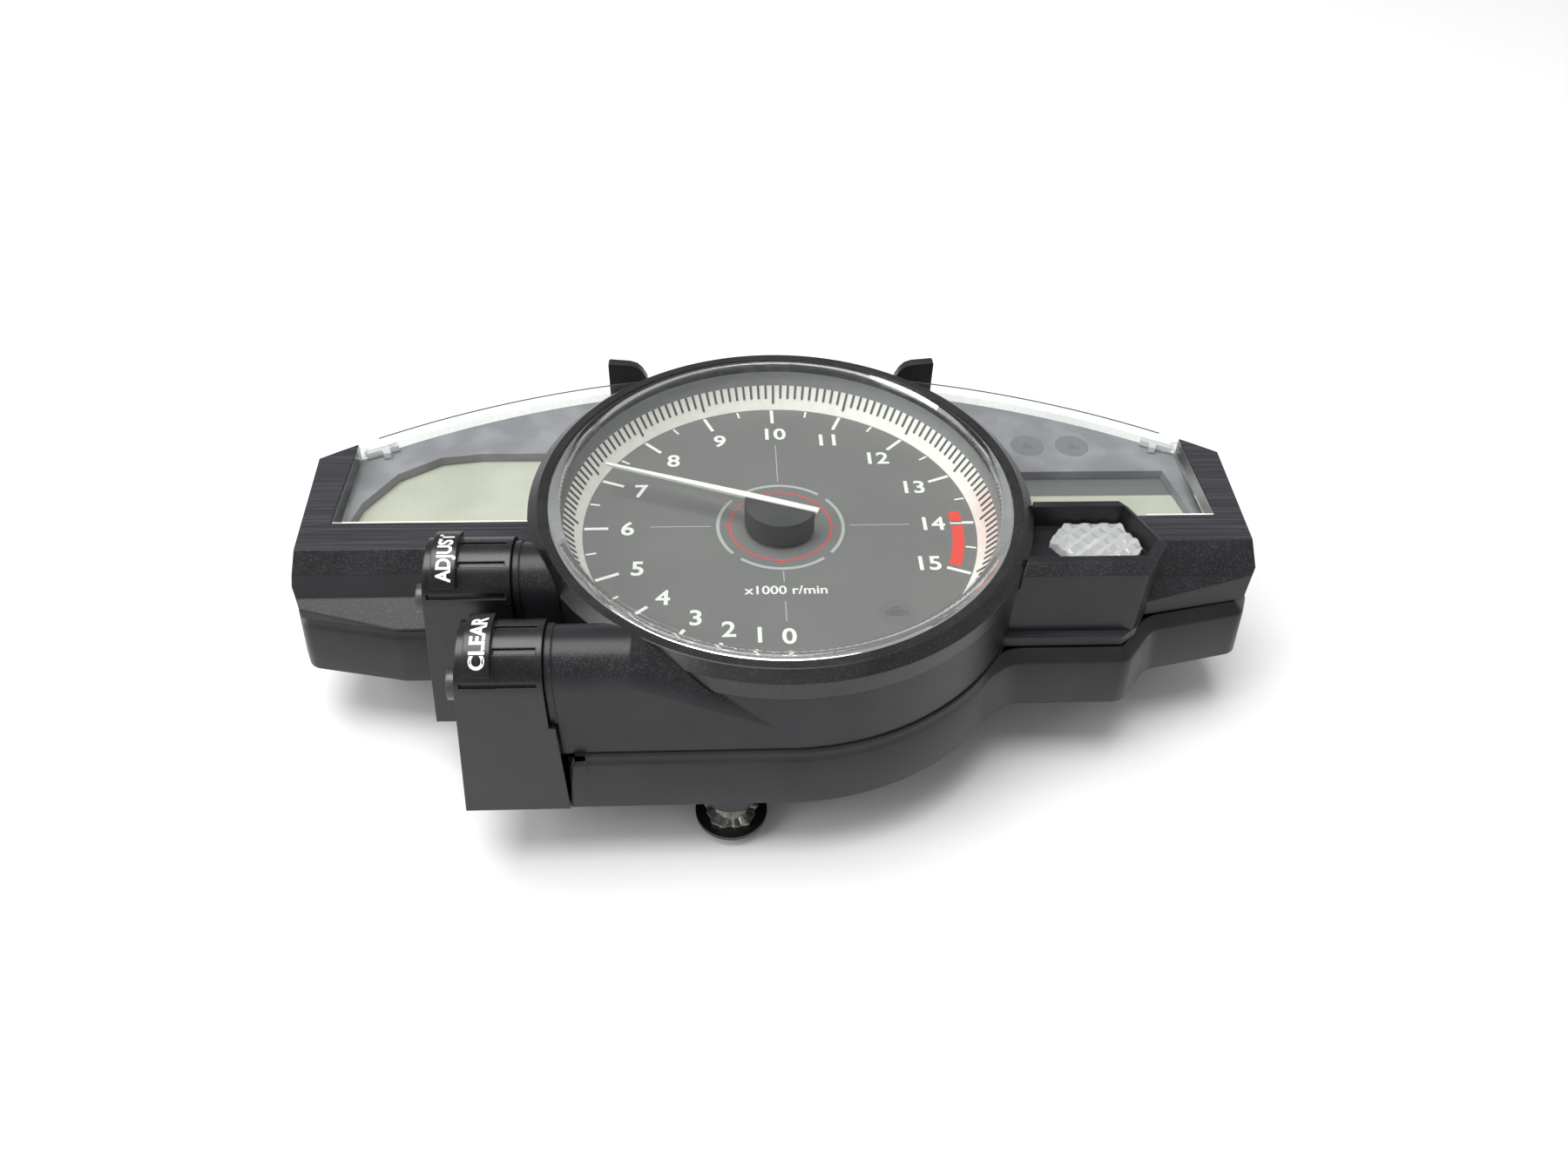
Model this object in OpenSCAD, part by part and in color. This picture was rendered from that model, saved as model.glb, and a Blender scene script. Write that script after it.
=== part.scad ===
// Motorcycle instrument cluster: a round tachometer between two display wings, with two push
// buttons in barrels on the left and a shift light hood on the right.
// It lies on its back. +Z points out of the dial, +X to the rider's right and +Y to its top edge.
// The origin is on the surface that it rests on, under the middle of its plan.

/* [Case] */
// Width over the two wings
case_w = 228; // [226:0.5:230]
// From the dial axis to the crown of the rear edge
rear_y = 60; // [59:0.5:61]
// From the dial axis to the wings' rear corners
corner_y = 24; // [23:0.5:25]
// Radius of the round front lobe
lobe_r = 59.8; // [59.5:0.1:60]
// Wall thickness of the mouldings
wall = 2.5; // [2:0.1:2.8]
// Height of the case's rear edge above the resting surface
back_z = 18.7; // [18:0.1:19]
// Height of the seam between the base and the front cover
seam_z = 34; // [33.5:0.1:34.2]
// Height of the wings' flat front
wing_z = 48; // [47.5:0.1:48.5]

/* [Dial] */
// Height of the dial's printed face
dial_z = 46; // [45.8:0.1:46.1]
// Radius of the printed face inside the tick ring
dial_r = 46.3; // [46:0.1:46.6]
// Outer radius of the bezel
bezel_r = 57.9; // [57.8:0.1:58]
// Inner radius of the bezel
bezel_in_r = 53.4; // [53.3:0.1:53.6]
// Height of the bezel's flat front
bezel_z = 57; // [56.8:0.1:57.4]
// Direction of the pointer, counter-clockwise from +X
pointer_deg = 160; // [100:1:220]
// Length of the pointer from the dial axis
pointer_l = 44; // [40:0.5:45]

/* [Buttons] */
// Radius of the half-round button barrels
barrel_r = 9; // [8.8:0.1:9.1]
// Height of the barrels' axis
barrel_z = 53.3; // [53:0.1:53.6]
// Radius of the push buttons
button_r = 3.3; // [3:0.1:3.4]
// How far a button stands out of its barrel
button_out = 2.8; // [2.4:0.1:3.2]

/* [Motor] */
// Teeth of the output gear
output_teeth = 60; // [60]
// Teeth of the two pinions
pinion_teeth = 12; // [12]
// Teeth of the middle gear's wheel
wheel_teeth = 48; // [48]

/* [Mounting] */
// Radius of the two locating pegs
peg_r = 4; // [3.5:0.1:4.2]
// Length of the locating pegs
peg_l = 12; // [10:0.5:12]
// Distance of each peg from the dial axis along X
peg_x = 62; // [58:1:66]
// Outer radius of the mounting washer
washer_r = 8.2; // [7.5:0.1:8.5]

/* [Hidden] */

$fn = 96;
eps = 0.01;
gap = 0.1;
far = 80;
half_w = case_w / 2;
corner_x = half_w - 1.5;
rear_drop = rear_y - corner_y;
rear_arc_r = (corner_x * corner_x + rear_drop * rear_drop) / (2 * rear_drop);
rear_arc_y = rear_y - rear_arc_r;
wing_front_y = -8.8;
window_x = 104;
lens_t = 2;
window_floor_z = seam_z + 2.5;
mask_z = dial_z - 2;
ledge_z = 31.3;
lcd_z = mask_z - 2.5;
board_z = 29.6;
board_t = 1.6;
board_top = board_z + board_t;
cover_plate_z = back_z + 0.8;
gasket_z = cover_plate_z + wall;
gasket_t = 0.7;
flange_z = gasket_z + gasket_t;
tube_r = 53;
hood_z = bezel_z - 1;
hood_floor_z = hood_z - 6;
shift_xy = [70.3, -12.7];
barrel_y = [-24.6, -49.5];
barrel_left = [-79.3, -69.2];
barrel_right = [-58, -49.1];
barrel_lean = 4;
barrel_flare = 1.6;
dial_y = (barrel_r + barrel_flare - barrel_y[1] - rear_y) / 2;
neck_r = 7.85;
neck_bend_x = -34;
neck_fall = 24.5;
pod_top_z = 44;
button_z = dial_z + 1.6;
peg_y = 22;
boss_r = 7;
boss_z = peg_l;
screw_xy = [-12.5, -50.2];
socket_xy = [-20, -24];
socket_w = 34;
socket_d = 16;
socket_z = 6;
washer_z = 4;
screw_r = 1.2;
shaft_r = 0.75;
output_m = 0.3;
wheel_m = 0.25;
middle_x = output_m * (output_teeth + pinion_teeth) / 2;
rotor_gap = wheel_m * (wheel_teeth + pinion_teeth) / 2;
rotor_deg = 60;
rotor_xy = [middle_x + rotor_gap * cos(rotor_deg), rotor_gap * sin(rotor_deg)];
axle_r = 0.5;
motor_lo = [-12, -12];
motor_size = [32, 26.5];
motor_top = 39.2;
output_gear_z = 37.2;
wheel_z = 34.6;
screws_half = [[82.1, 36], [34.2, 51.6], [108.2, 4], [95.5, -15.8]];
rear_screw_xy = concat(screws_half, [for (p = screws_half) [-p[0], p[1]]],
                       [[27.3, -47.3], [-38, -54.5]]);
board_screw_xy = [[30, 30], [-30, 30], [30, -30], [-30, -30], [98.2, 4.2], [-98.2, 4.2]];

// Points of an arc about [x, y] from angle a to angle b
function arc(x, y, r, a, b, n = 32) =
    [for (i = [0:n]) let (t = a + (b - a) * i / n) [x + r * cos(t), y + r * sin(t)]];

// Points of a counter-clockwise polygon with every side moved in by i
function inset(p, i) = [for (k = [0:len(p) - 1])
    let (a = p[(k + len(p) - 1) % len(p)], b = p[k], c = p[(k + 1) % len(p)],
         u = (b - a) / norm(b - a), v = (c - b) / norm(c - b),
         m = [-u[1], u[0]], n = [-v[1], v[0]])
    b + i * (m + n) / (1 + m * n)];

// Plan of the wings, drawn in by i: the rear edge is one wide arc
module wing_plan(i = 0) {
    corner = asin(corner_x / rear_arc_r);
    polygon(inset(concat(arc(0, rear_arc_y, rear_arc_r, 90 - corner, 90 + corner, 48),
                         [[-half_w, -11], [-111, -17.8], [-88, -22.6],
                          [88, -22.6], [111, -17.8], [half_w, -11]]), i));
}

// Plan of the hood's foot, drawn in by i
module hood_foot_plan(i = 0) {
    polygon(inset([[40, -10], [40, -32.8], [78.5, -32.8], [84, -28.5], [88.5, -21],
                   [88.5, -10]], i));
}

// Plan of the straight front between the switch housing and the lobe, drawn in by i
module straight_front_plan(i = 0) {
    front = 0.1 - lobe_r;
    polygon(inset([[-46.9, -10], [-46.9, front], [0, front], [0, -10]], i));
}

hood_points = [[40, -4], [40, -27], [79.5, -27], [86.2, -17.2], [80.5, -4]];

// Plan of the hood itself, drawn in by i
module hood_plan(i = 0) {
    polygon(inset(hood_points, i));
}

// Recess in the hood's top, which ends at the tachometer's wall
module hood_recess_plan() {
    polygon([[50, -5.8], [50, -22.6], [79.6, -22.6], [83.7, -16.4], [79.2, -5.8]]);
}

// Plan of the front cover's wings, drawn in by i: flush with the base along the rear edge
module cover_plan(i = 0) {
    corner = asin(corner_x / rear_arc_r);
    polygon(inset(concat(arc(0, rear_arc_y, rear_arc_r, 90 - corner, 90 + corner, 48),
                         [[-half_w + 1.4, -10.6], [-110, -16.6], [-88, -21.1],
                          [84, -19.5], [110.3, -14.4], [half_w - 1.4, -10.6]]), i));
}

// Plan of the base's top at the seam, drawn in by i
module seam_plan(i = 0) {
    cover_plan(i);
    circle(r = lobe_r - 1.5 - i);
    straight_front_plan(1.5 + i);
    hood_foot_plan(4 + i);
}

// Plan of the whole base, drawn in by i
module case_plan(i = 0) {
    wing_plan(i);
    circle(r = lobe_r - i);
    straight_front_plan(i);
    hood_foot_plan(i);
}

// Plan of the left window, drawn in by i, without its round inner end
module window_plan(i = 0) {
    intersection() {
        polygon(inset([[-window_x, 0], [-3, 0], [-3, far], [-window_x + 1, far]], i));
        cover_plan(i);
    }
}

// Everything that follows is set out from the dial axis
module on_dial_axis() {
    translate([0, dial_y, 0]) children();
}

module slab(z0, z1) {
    translate([0, 0, z0]) linear_extrude(z1 - z0) children();
}

module disc(r, z0, z1, xy = [0, 0]) {
    translate([xy[0], xy[1], z0]) cylinder(r = r, h = z1 - z0);
}

module block(lo, hi) {
    translate(lo) cube(hi - lo);
}

// Solid whose Y-Z outline is the child, from x0 to x1
module along_x(x0, x1) {
    translate([x0, 0, 0]) rotate([90, 0, 90]) linear_extrude(x1 - x0) children();
}

// Solid whose X-Z outline is the child, from y0 to y1
module along_y(y0, y1) {
    translate([0, y1, 0]) rotate([90, 0, 0]) linear_extrude(y1 - y0) children();
}

module ears() {
    for (side = [-1, 1])
        along_y(56.8, rear_y - 0.6)
            polygon([[side * 43.2, seam_z - 8], [side * 43.2, dial_z + 7.4],
                     [side * 36.8, dial_z + 6.9], [side * 34.4, dial_z + 5],
                     [side * 33, dial_z + 2], [side * 33, seam_z - 8]]);
}

module base_case() {
    color("#1b1b1d") on_dial_axis() {
        difference() {
            union() {
                slab(back_z, ledge_z) case_plan(0);
                slab(ledge_z, seam_z - 0.6) seam_plan(0);
            }
            slab(back_z - 1, flange_z) case_plan(wall);
            slab(flange_z - 1, flange_z + 2) case_plan(wall + 5);
            difference() {
                union() {
                    slab(flange_z + 1.5, ledge_z - 2) case_plan(1.5 + wall);
                    slab(ledge_z - 2.1, seam_z) seam_plan(wall);
                }
                for (p = rear_screw_xy) disc(3, flange_z, flange_z + 6, p);
            }
            for (p = rear_screw_xy) disc(screw_r + 0.05, flange_z - 1, flange_z + 5.2, p);
        }
        difference() {
            ears();
            slab(0, seam_z - 0.6) case_plan(0.2);
            slab(seam_z - 1, wing_z + 0.2) cover_plan(-0.3);
        }
        difference() {
            for (side = [-1, 1])
                block([side * 38.1 - 5.1, rear_y - 5, seam_z - 8],
                      [side * 38.1 + 5.1, rear_y - 0.6, seam_z - 2]);
            slab(0, seam_z) case_plan(0.2);
        }
    }
}

// What the base, the cover and the bezel take up beside the switch housing
module case_envelope() {
    slab(0, seam_z) case_plan(-gap);
    disc(bezel_r + gap, 0, bezel_z + 5);
    along_x(-far * 2, -40) wing_profile(-gap);
    for (k = [0, 1]) along_x(barrel_right[k] + 1.6, 0) neck_profile(k, neck_r + gap, seam_z - 1);
}

// Y-Z outline of a barrel: half-round head over flanks that lean out to the rear edge
module barrel_profile(k, i = 0) {
    y = barrel_y[k];
    r = barrel_r - i;
    translate([y, barrel_z]) circle(r = r);
    polygon([[y - r, barrel_z], [y - r - barrel_flare, back_z],
             [y + r + barrel_flare, back_z], [y + r, barrel_z]]);
}

// X-Z outline of a barrel and the block beneath it, drawn in by i at its ends
module barrel_side(k, i = 0) {
    x0 = barrel_left[k] + i;
    x1 = barrel_right[k] - i;
    polygon([[x0, back_z - 1], [x0 + barrel_lean, 70], [x1, 70], [x1, pod_top_z],
             [x1 + 1.3, pod_top_z], [x1 + 2.2, back_z - 1]]);
}

// One button barrel: a grip of three grooves, a label pad and the block down to the rear edge
module barrel(k) {
    y = barrel_y[k];
    x0 = barrel_left[k] + barrel_lean * (barrel_z - back_z) / (70 - back_z);
    x1 = barrel_right[k];
    difference() {
        union() {
            intersection() {
                along_x(x0 - 10, x1 + 3) barrel_profile(k);
                along_y(-far, 0) barrel_side(k);
            }
            // label pad
            intersection() {
                along_x(x0 + 2.4, x0 + 7.6) difference() {
                    translate([y, barrel_z]) circle(r = barrel_r + 1.3);
                    translate([y, barrel_z]) circle(r = barrel_r - 1);
                }
                along_x(x0, x1)
                    polygon([[y, barrel_z], [y - 16, barrel_z + 9.8],
                             [y - 16, barrel_z + 16], [y + 12.5, barrel_z + 16]]);
            }
        }
        // grooves
        for (a = [80.5, 117.5, 162])
            translate([0, y, barrel_z]) rotate([a - 90, 0, 0])
                block([x0 + (a > 120 ? 1.2 : 7.8), -0.6, barrel_r - 0.7],
                      [x1 - 1.2, 0.6, barrel_r + 1]);
        // room for the switch and the wires below it
        intersection() {
            along_x(x0 - 10, x1) barrel_profile(k, wall);
            along_y(-far, 0) barrel_side(k, wall);
            block([-far * 2, -far, 0], [0, 0, barrel_z + 3.4]);
        }
        // bore of the button
        translate([x0 - 3, y, button_z]) rotate([0, 90, 0])
            cylinder(r = button_r + 0.2, h = 7);
    }
}

// Two barrels in one moulding, hollow and open to the rear
module switch_housing() {
    color("#1b1b1d") on_dial_axis() difference() {
        union() {
            barrel(0);
            barrel(1);
            // hollow web between the two blocks
            block([-68, -41, back_z], [-60, -33, pod_top_z]);
        }
        block([-66, -44, back_z - 1], [-62, -31, pod_top_z - 2]);
        case_envelope();
    }
}

// Plate that closes the switch housing at the rear
module housing_floor() {
    color("#1b1b1d") on_dial_axis() difference() {
        intersection() {
            union() {
                for (k = [0, 1]) intersection() {
                    along_x(-100, -40) barrel_profile(k, wall + 0.1);
                    along_y(-far, 0) barrel_side(k, wall + 0.1);
                }
                block([-65.9, -44, back_z], [-62.1, -32, back_z + 2.5]);
            }
            slab(back_z + 0.4, back_z + 2.2) square(4 * far, center = true);
        }
        slab(0, seam_z) case_plan(-gap * 3);
    }
}

// Outline of the neck that carries a barrel on the front cover, down to z0
module neck_profile(k, r, z0) {
    translate([barrel_y[k], barrel_z]) circle(r = r);
    translate([barrel_y[k] - r, z0]) square([2 * r, barrel_z - z0]);
}

// Necks with a flange at the barrel's end; the lower neck falls away along the bezel
module necks(i = 0) {
    for (k = [0, 1]) {
        intersection() {
            along_x(barrel_right[k] + 1.6 + i, 0) neck_profile(k, neck_r - i, seam_z);
            translate([neck_bend_x, 0, barrel_z]) rotate([0, neck_fall, 0])
                translate([0, 0, -barrel_z]) along_x(-far, far)
                    neck_profile(k, neck_r + 0.15 - i, seam_z - far);
        }
        along_x(barrel_right[k] + 0.2, barrel_right[k] + 1.6)
            neck_profile(k, neck_r + 0.3 - i, pod_top_z + 0.1);
    }
}

// Y-Z outline of the left wing's front, drawn in by i
module wing_profile(i = 0) {
    polygon([[far, seam_z], [far, wing_z - i], [wing_front_y + i * 0.4, wing_z - i],
             [-12.6 + i, 43.8 - i * 0.5], [-14.2 + i, 38], [-21.5 + i, seam_z]]);
}

// Y-Z outline of the right wing's front, drawn in by i
module wing_profile_right(i = 0) {
    polygon([[far, seam_z], [far, wing_z - i], [wing_front_y + i * 0.4, wing_z - i],
             [-14.7 + i, 41.5 - i * 0.5], [-20.5 + i, 37.5 - i * 0.5], [-21.5 + i, seam_z]]);
}

module wing_shell(i) {
    intersection() {
        slab(seam_z, wing_z + 1) cover_plan(i);
        union() {
            along_x(-half_w, 0) wing_profile(i);
            along_x(0, half_w) wing_profile_right(i);
        }
    }
}

// What the leaning sides of the wings cut off
module wing_sides() {
    for (side = [0, 1]) mirror([side, 0, 0])
        translate([110.3, wing_front_y, wing_z]) rotate([0, 0, -2.8]) rotate([0, -10.5, 0])
            block([0, -30, -40], [20, 60, 20]);
}

// Chamfers along the hood's free upper edges
module hood_chamfers() {
    for (k = [1, 2, 3]) {
        a = hood_points[k];
        run = hood_points[(k + 1) % 5] - a;
        translate([a[0], a[1], 0]) rotate(atan2(run[1], run[0]))
            along_x(-6, norm(run) + 6)
                polygon([[-2, hood_z - 3.3], [2.4, hood_z], [2.4, hood_z + 1],
                         [-2, hood_z + 1]]);
    }
}

module windows(i = 0) {
    slab(window_floor_z, far) window_plan(i);
    slab(window_floor_z, far) mirror([1, 0]) window_plan(i);
}

module front_cover() {
    color("#1e1e20") on_dial_axis() {
        difference() {
            union() {
                difference() {
                    wing_shell(0);
                    wing_shell(wall);
                    slab(seam_z - 1, seam_z + 1) cover_plan(wall);
                    wing_sides();
                    windows();
                }
                slab(seam_z, seam_z + 2.8) hood_foot_plan(4);
                disc(bezel_r - 0.5, seam_z, 50.4);
                disc(bezel_r - 1.1, 50.4 - eps, 54.8);
                difference() {
                    slab(seam_z, hood_z) hood_plan();
                    hood_chamfers();
                    disc(bezel_r + gap, 50.4, far);
                }
                difference() {
                    necks();
                    intersection() {
                        necks(2.2);
                        block([-far, -far, 0], [0, 0, 50]);
                    }
                    disc(bezel_r + gap, 50.4, far);
                }
            }
            disc(tube_r, seam_z - 1, far);
            // recess and hollow of the hood
            difference() {
                union() {
                    slab(hood_floor_z, far) hood_recess_plan();
                    slab(seam_z - 1, hood_floor_z - wall) hood_plan(wall);
                }
                disc(bezel_r - 0.5, seam_z - 2, far);
            }
            slab(hood_floor_z - wall - 1, hood_floor_z + 1) hood_lens_plan(-0.15);
        }
    }
}

module hood_lens_plan(i = 0) {
    polygon(inset([[60.7, -12.2], [64.8, -19.2], [79.2, -19.2], [82.2, -14.7],
                   [78.6, -6.2], [65.2, -6.2]], i));
}

module bezel_ring() {
    color("#1d1d1f") on_dial_axis() rotate_extrude($fn = 128)
        polygon([[bezel_in_r, 55], [bezel_in_r, bezel_z], [55.5, bezel_z], [bezel_r, 55],
                 [bezel_r, 50.5], [bezel_r - 0.9, 50.5], [bezel_r - 0.9, 55]]);
}

module tach_lens() {
    color("#ffffff40") on_dial_axis() rotate_extrude($fn = 128)
        polygon([[0, 56.6], [0, 58.2], [30, 58.05], [48, 57.8], [51.2, 57.4], [52.6, 56.7],
                 [bezel_in_r - gap, 55.9], [bezel_in_r - gap, 55.1], [51.6, 55.1],
                 [50.8, 55.9], [48, 56.3]]);
}

// Plan of a window drawn in by i, and by j along the rear edge
module window_lens_plan(i, j) {
    intersection() {
        polygon(inset([[-window_x, 0], [-3, 0], [-3, far], [-window_x + 1, far]], i));
        cover_plan(j);
    }
}

// Clear cover of one wing: flat front, a rim on the mask and a skirt down the rear edge
module wing_lens() {
    difference() {
        slab(window_floor_z + gap, wing_z) window_lens_plan(gap, 0);
        slab(mask_z, wing_z - lens_t) window_lens_plan(1.1, 1);
        slab(seam_z, mask_z + gap) window_lens_plan(-1, 1);
        disc(bezel_r + gap, 0, far);
    }
}

module wing_lens_left() {
    color("#ffffff40") on_dial_axis() wing_lens();
}

module wing_lens_right() {
    color("#ffffff40") on_dial_axis() mirror([1, 0, 0]) difference() {
        wing_lens();
        mirror([1, 0, 0]) slab(seam_z, far) hood_plan(-gap);
    }
}

module tick_ring() {
    color("ivory") on_dial_axis() rotate_extrude($fn = 128)
        polygon([[dial_r, dial_z + 0.02], [50.3, 51], [51.6, 55], [52.7, 55], [52.7, 53],
                 [51.5, 50.4], [48.2, dial_z + 0.02]]);
}

module dial_plate() {
    color("#3a3a3c") on_dial_axis() difference() {
        disc(51, dial_z - 1, dial_z);
        disc(2.7, dial_z - 2, dial_z + 1);
    }
}

module dial_light_guide() {
    color("white") on_dial_axis() difference() {
        disc(50, dial_z - 4.5, dial_z - 1.1);
        disc(3.2, dial_z - 5, dial_z);
        disc(21, dial_z - 5, dial_z - 3);
    }
}

// Plan of the left display's opening in its mask
module display_plan(i = 0) {
    intersection() {
        polygon([[-102 + i, 2.5 + i], [-100 + i, 12], [-93.5 + i, 23 - i], [-84, 29.5 - i],
                 [-74, 31 - i], [-40, 31 - i], [-40, 2.5 + i]]);
        difference() {
            square([4 * far, 2 * far], center = true);
            circle(r = 60.5 + i);
        }
    }
}

// Plan of the right display's opening in its mask
module display_plan_right(i = 0) {
    difference() {
        polygon([[60 + i, 4 + i], [101 - i, 4 + i], [98 - i, 22 - i], [60 + i, 22 - i]]);
        circle(r = 60.5 + i);
    }
}

module mask_outline() {
    window_lens_plan(0.3, 1.2);
}

module mask_left() {
    color("#5c5c62") on_dial_axis() difference() {
        union() {
            slab(mask_z - 1, mask_z) mask_outline();
            slab(lcd_z + 0.1, mask_z - 1) display_plan(-1);
        }
        slab(lcd_z - 1, mask_z + 1) display_plan();
        disc(bezel_r - 0.3, 0, far);
    }
}

module mask_right() {
    color("#5c5c62") on_dial_axis() difference() {
        union() {
            slab(mask_z - 1, mask_z) mirror([1, 0]) mask_outline();
            slab(lcd_z + 0.1, mask_z - 1) display_plan_right(-1);
        }
        slab(lcd_z - 1, mask_z + 1) display_plan_right();
        disc(bezel_r - 0.3, 0, far);
        slab(seam_z, far) hood_plan(-gap);
    }
}

module lcd_left() {
    color("#b8bba6") on_dial_axis() slab(lcd_z - 2, lcd_z) display_plan(-1.5);
}

module lcd_right() {
    color("#b8bba6") on_dial_axis() slab(lcd_z - 2, lcd_z) display_plan_right(-1.5);
}

module backlight_left() {
    color("white") on_dial_axis() slab(lcd_z - 4.2, lcd_z - 2.1) display_plan(-1);
}

module backlight_right() {
    color("white") on_dial_axis() slab(lcd_z - 4.2, lcd_z - 2.1) display_plan_right(-1);
}

// Rubber strips that join each display to the board
module contact_strips() {
    color("#d9a7a0") on_dial_axis() {
        block([-92, 3.4, board_top + 0.05], [-66, 4.8, lcd_z - 4.3]);
        block([66, 5, board_top + 0.05], [92, 6.4, lcd_z - 4.3]);
    }
}

// White inner frame that carries the dial and the displays on the board
module light_box() {
    color("whitesmoke") on_dial_axis() difference() {
        union() {
            difference() {
                disc(51, board_top + 0.1, dial_z - 4.6);
                disc(49.4, board_top, dial_z);
            }
            difference() {
                slab(board_top + 0.1, lcd_z - 4.3) {
                    wing_box_plan(0);
                    mirror([1, 0]) wing_box_plan(0);
                }
                slab(board_top, lcd_z) {
                    wing_box_plan(1.6);
                    mirror([1, 0]) wing_box_plan(1.6);
                }
                disc(50, board_top, far);
            }
            for (p = board_screw_xy) disc(2.8, board_top + 0.1, board_top + 2.4, p);
            for (a = [45:90:315]) rotate(a)
                block([41, -0.8, board_top + 0.1], [50, 0.8, board_top + 2.4]);
        }
        for (p = board_screw_xy) disc(screw_r + 0.05, board_top, board_top + 2, p);
        // room for the round wall of the front cover
        difference() {
            disc(bezel_r, seam_z - 0.5, dial_z);
            disc(tube_r - 0.4, board_top, far);
        }
    }
}

module wing_box_plan(i = 0) {
    polygon([[-102 + i, 1 + i], [-48, 1 + i], [-48, 31 - i], [-86, 31 - i], [-102 + i, 18 - i]]);
}

module circuit_board() {
    color("darkgreen") on_dial_axis() difference() {
        slab(board_z, board_top) {
            wing_plan(9);
            circle(r = lobe_r - 9);
        }
        for (p = board_screw_xy) disc(screw_r + 0.1, board_z - 1, board_top + 1, p);
        for (p = terminal_xy()) disc(0.45, board_z - 1, board_top + 1, p);
        for (p = pin_xy()) disc(0.5, board_z - 1, board_top + 1, p);
    }
}

module board_screws() {
    color("silver") on_dial_axis() for (p = board_screw_xy) {
        disc(2.4, board_z - 1.6, board_z - 0.02, p);
        disc(screw_r, board_z - 0.03, board_top + 1.8, p);
    }
}

module backlight_leds() {
    color("#f4f1dc") on_dial_axis() {
        for (a = [22.5:45:337.5]) rotate(a)
            block([36, -1.4, board_top + 0.02], [38.8, 1.4, board_top + 1.2]);
        for (side = [-1, 1], x = [72, 82])
            block([side * x - 1.4, 14, board_top + 0.02], [side * x + 1.4, 16.8, board_top + 1]);
    }
}

module warning_leds() {
    color("#f4f1dc") on_dial_axis() {
        for (x = [64, 76])
            block([x - 1.4, 33.5, board_top + 0.02], [x + 1.4, 36.3, board_top + 1.2]);
        rotate(-50) block([36.8, -1.4, board_top + 0.02], [39.6, 1.4, board_top + 1.2]);
    }
}

// Faceted clear lens of the shift light
module shift_lens() {
    color("#ffffff80") on_dial_axis() {
        slab(hood_floor_z - wall + 0.1, hood_floor_z + 0.8) hood_lens_plan(0.15);
        slab(hood_floor_z + 0.7, hood_floor_z + 1.8) hood_lens_plan(0.9);
    }
}

module shift_reflector() {
    color("gainsboro") on_dial_axis() translate([shift_xy[0], shift_xy[1], 0]) difference() {
        block([-8, -6, board_top + 4.6], [8, 6, hood_floor_z - wall - 0.1]);
        translate([0, 0, board_top + 5.6])
            cylinder(r1 = 2.6, r2 = 5.2, h = hood_floor_z - wall - board_top - 5.7 + eps);
        disc(2.5, board_top, board_top + 6);
    }
}

module shift_led() {
    color("#f4f1dc") on_dial_axis() translate([shift_xy[0], shift_xy[1], 0]) {
        disc(2.3, board_top + 3.2, board_top + 7.2);
        block([-1, -0.6, board_top + 0.02], [1, 0.6, board_top + 3.3]);
    }
}

module processor() {
    color("#202022") on_dial_axis()
        block([-44, 8, board_z - 1.8], [-32, 20, board_z - 0.02]);
}

module capacitors() {
    color("#2c2c34") on_dial_axis() for (p = [[42, 30], [50, 30], [42, 20], [-50, 30]])
        disc(3, board_z - 6, board_z - 0.02, p);
}

function pin_xy() = [for (i = [0:9], j = [-1, 1])
    [socket_xy[0] + (i - 4.5) * 2.5, socket_xy[1] + j * 2.2]];

module connector_pins() {
    color("gold") on_dial_axis() for (p = pin_xy())
        disc(0.45, socket_z + 6.5, board_top + 0.8, p);
}

module connector_seal() {
    color("#8c3b2e") on_dial_axis() translate([socket_xy[0], socket_xy[1], 0]) difference() {
        slab(socket_z + 3, socket_z + 5)
            square([socket_w + 2.4, socket_d + 2.4], center = true);
        slab(0, far) square([socket_w + 0.1, socket_d + 0.1], center = true);
    }
}

function terminal_xy() = [for (x = [-10, 18], y = [-10, 12.4]) [x, y]];

module motor_tray() {
    color("#2b2b2d") on_dial_axis() {
        difference() {
            block([motor_lo[0], motor_lo[1], board_top + 0.05],
                  [motor_lo[0] + motor_size[0], motor_lo[1] + motor_size[1], motor_top]);
            block([motor_lo[0] + 1, motor_lo[1] + 1, board_top + 1.4],
                  [motor_lo[0] + motor_size[0] - 1, motor_lo[1] + motor_size[1] - 1, far]);
            for (p = terminal_xy()) disc(0.4, board_top - 1, board_top + 2, p);
        }
        disc(axle_r, board_top + 1.3, motor_top - 0.1, [middle_x, 0]);
        disc(axle_r, board_top + 1.3, motor_top - 0.1, rotor_xy);
        difference() {
            disc(1.8, board_top + 1.3, board_top + 3);
            disc(shaft_r + 0.05, board_top + 1.5, far);
        }
    }
}

module motor_lid() {
    color("#2b2b2d") on_dial_axis() difference() {
        union() {
            block([motor_lo[0], motor_lo[1], motor_top + 0.02],
                  [motor_lo[0] + motor_size[0], motor_lo[1] + motor_size[1], motor_top + 1.2]);
            disc(2.3, motor_top + 1, dial_z + 0.2);
        }
        disc(shaft_r + 0.05, motor_top - 1, far);
    }
}

module motor_coils() {
    color("#b5651d") on_dial_axis() for (y = [-6, 6])
        translate([-8.5, y, board_top + 3.5]) rotate([0, 90, 0]) difference() {
            cylinder(r = 2.05, h = 11);
            translate([0, 0, -1]) cylinder(r = 0.9, h = 13);
        }
}

module motor_cores() {
    color("#8a8d91") on_dial_axis() for (y = [-6, 6])
        translate([-10, y, board_top + 3.5]) rotate([0, 90, 0]) cylinder(r = 0.85, h = 13.6);
}

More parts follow.
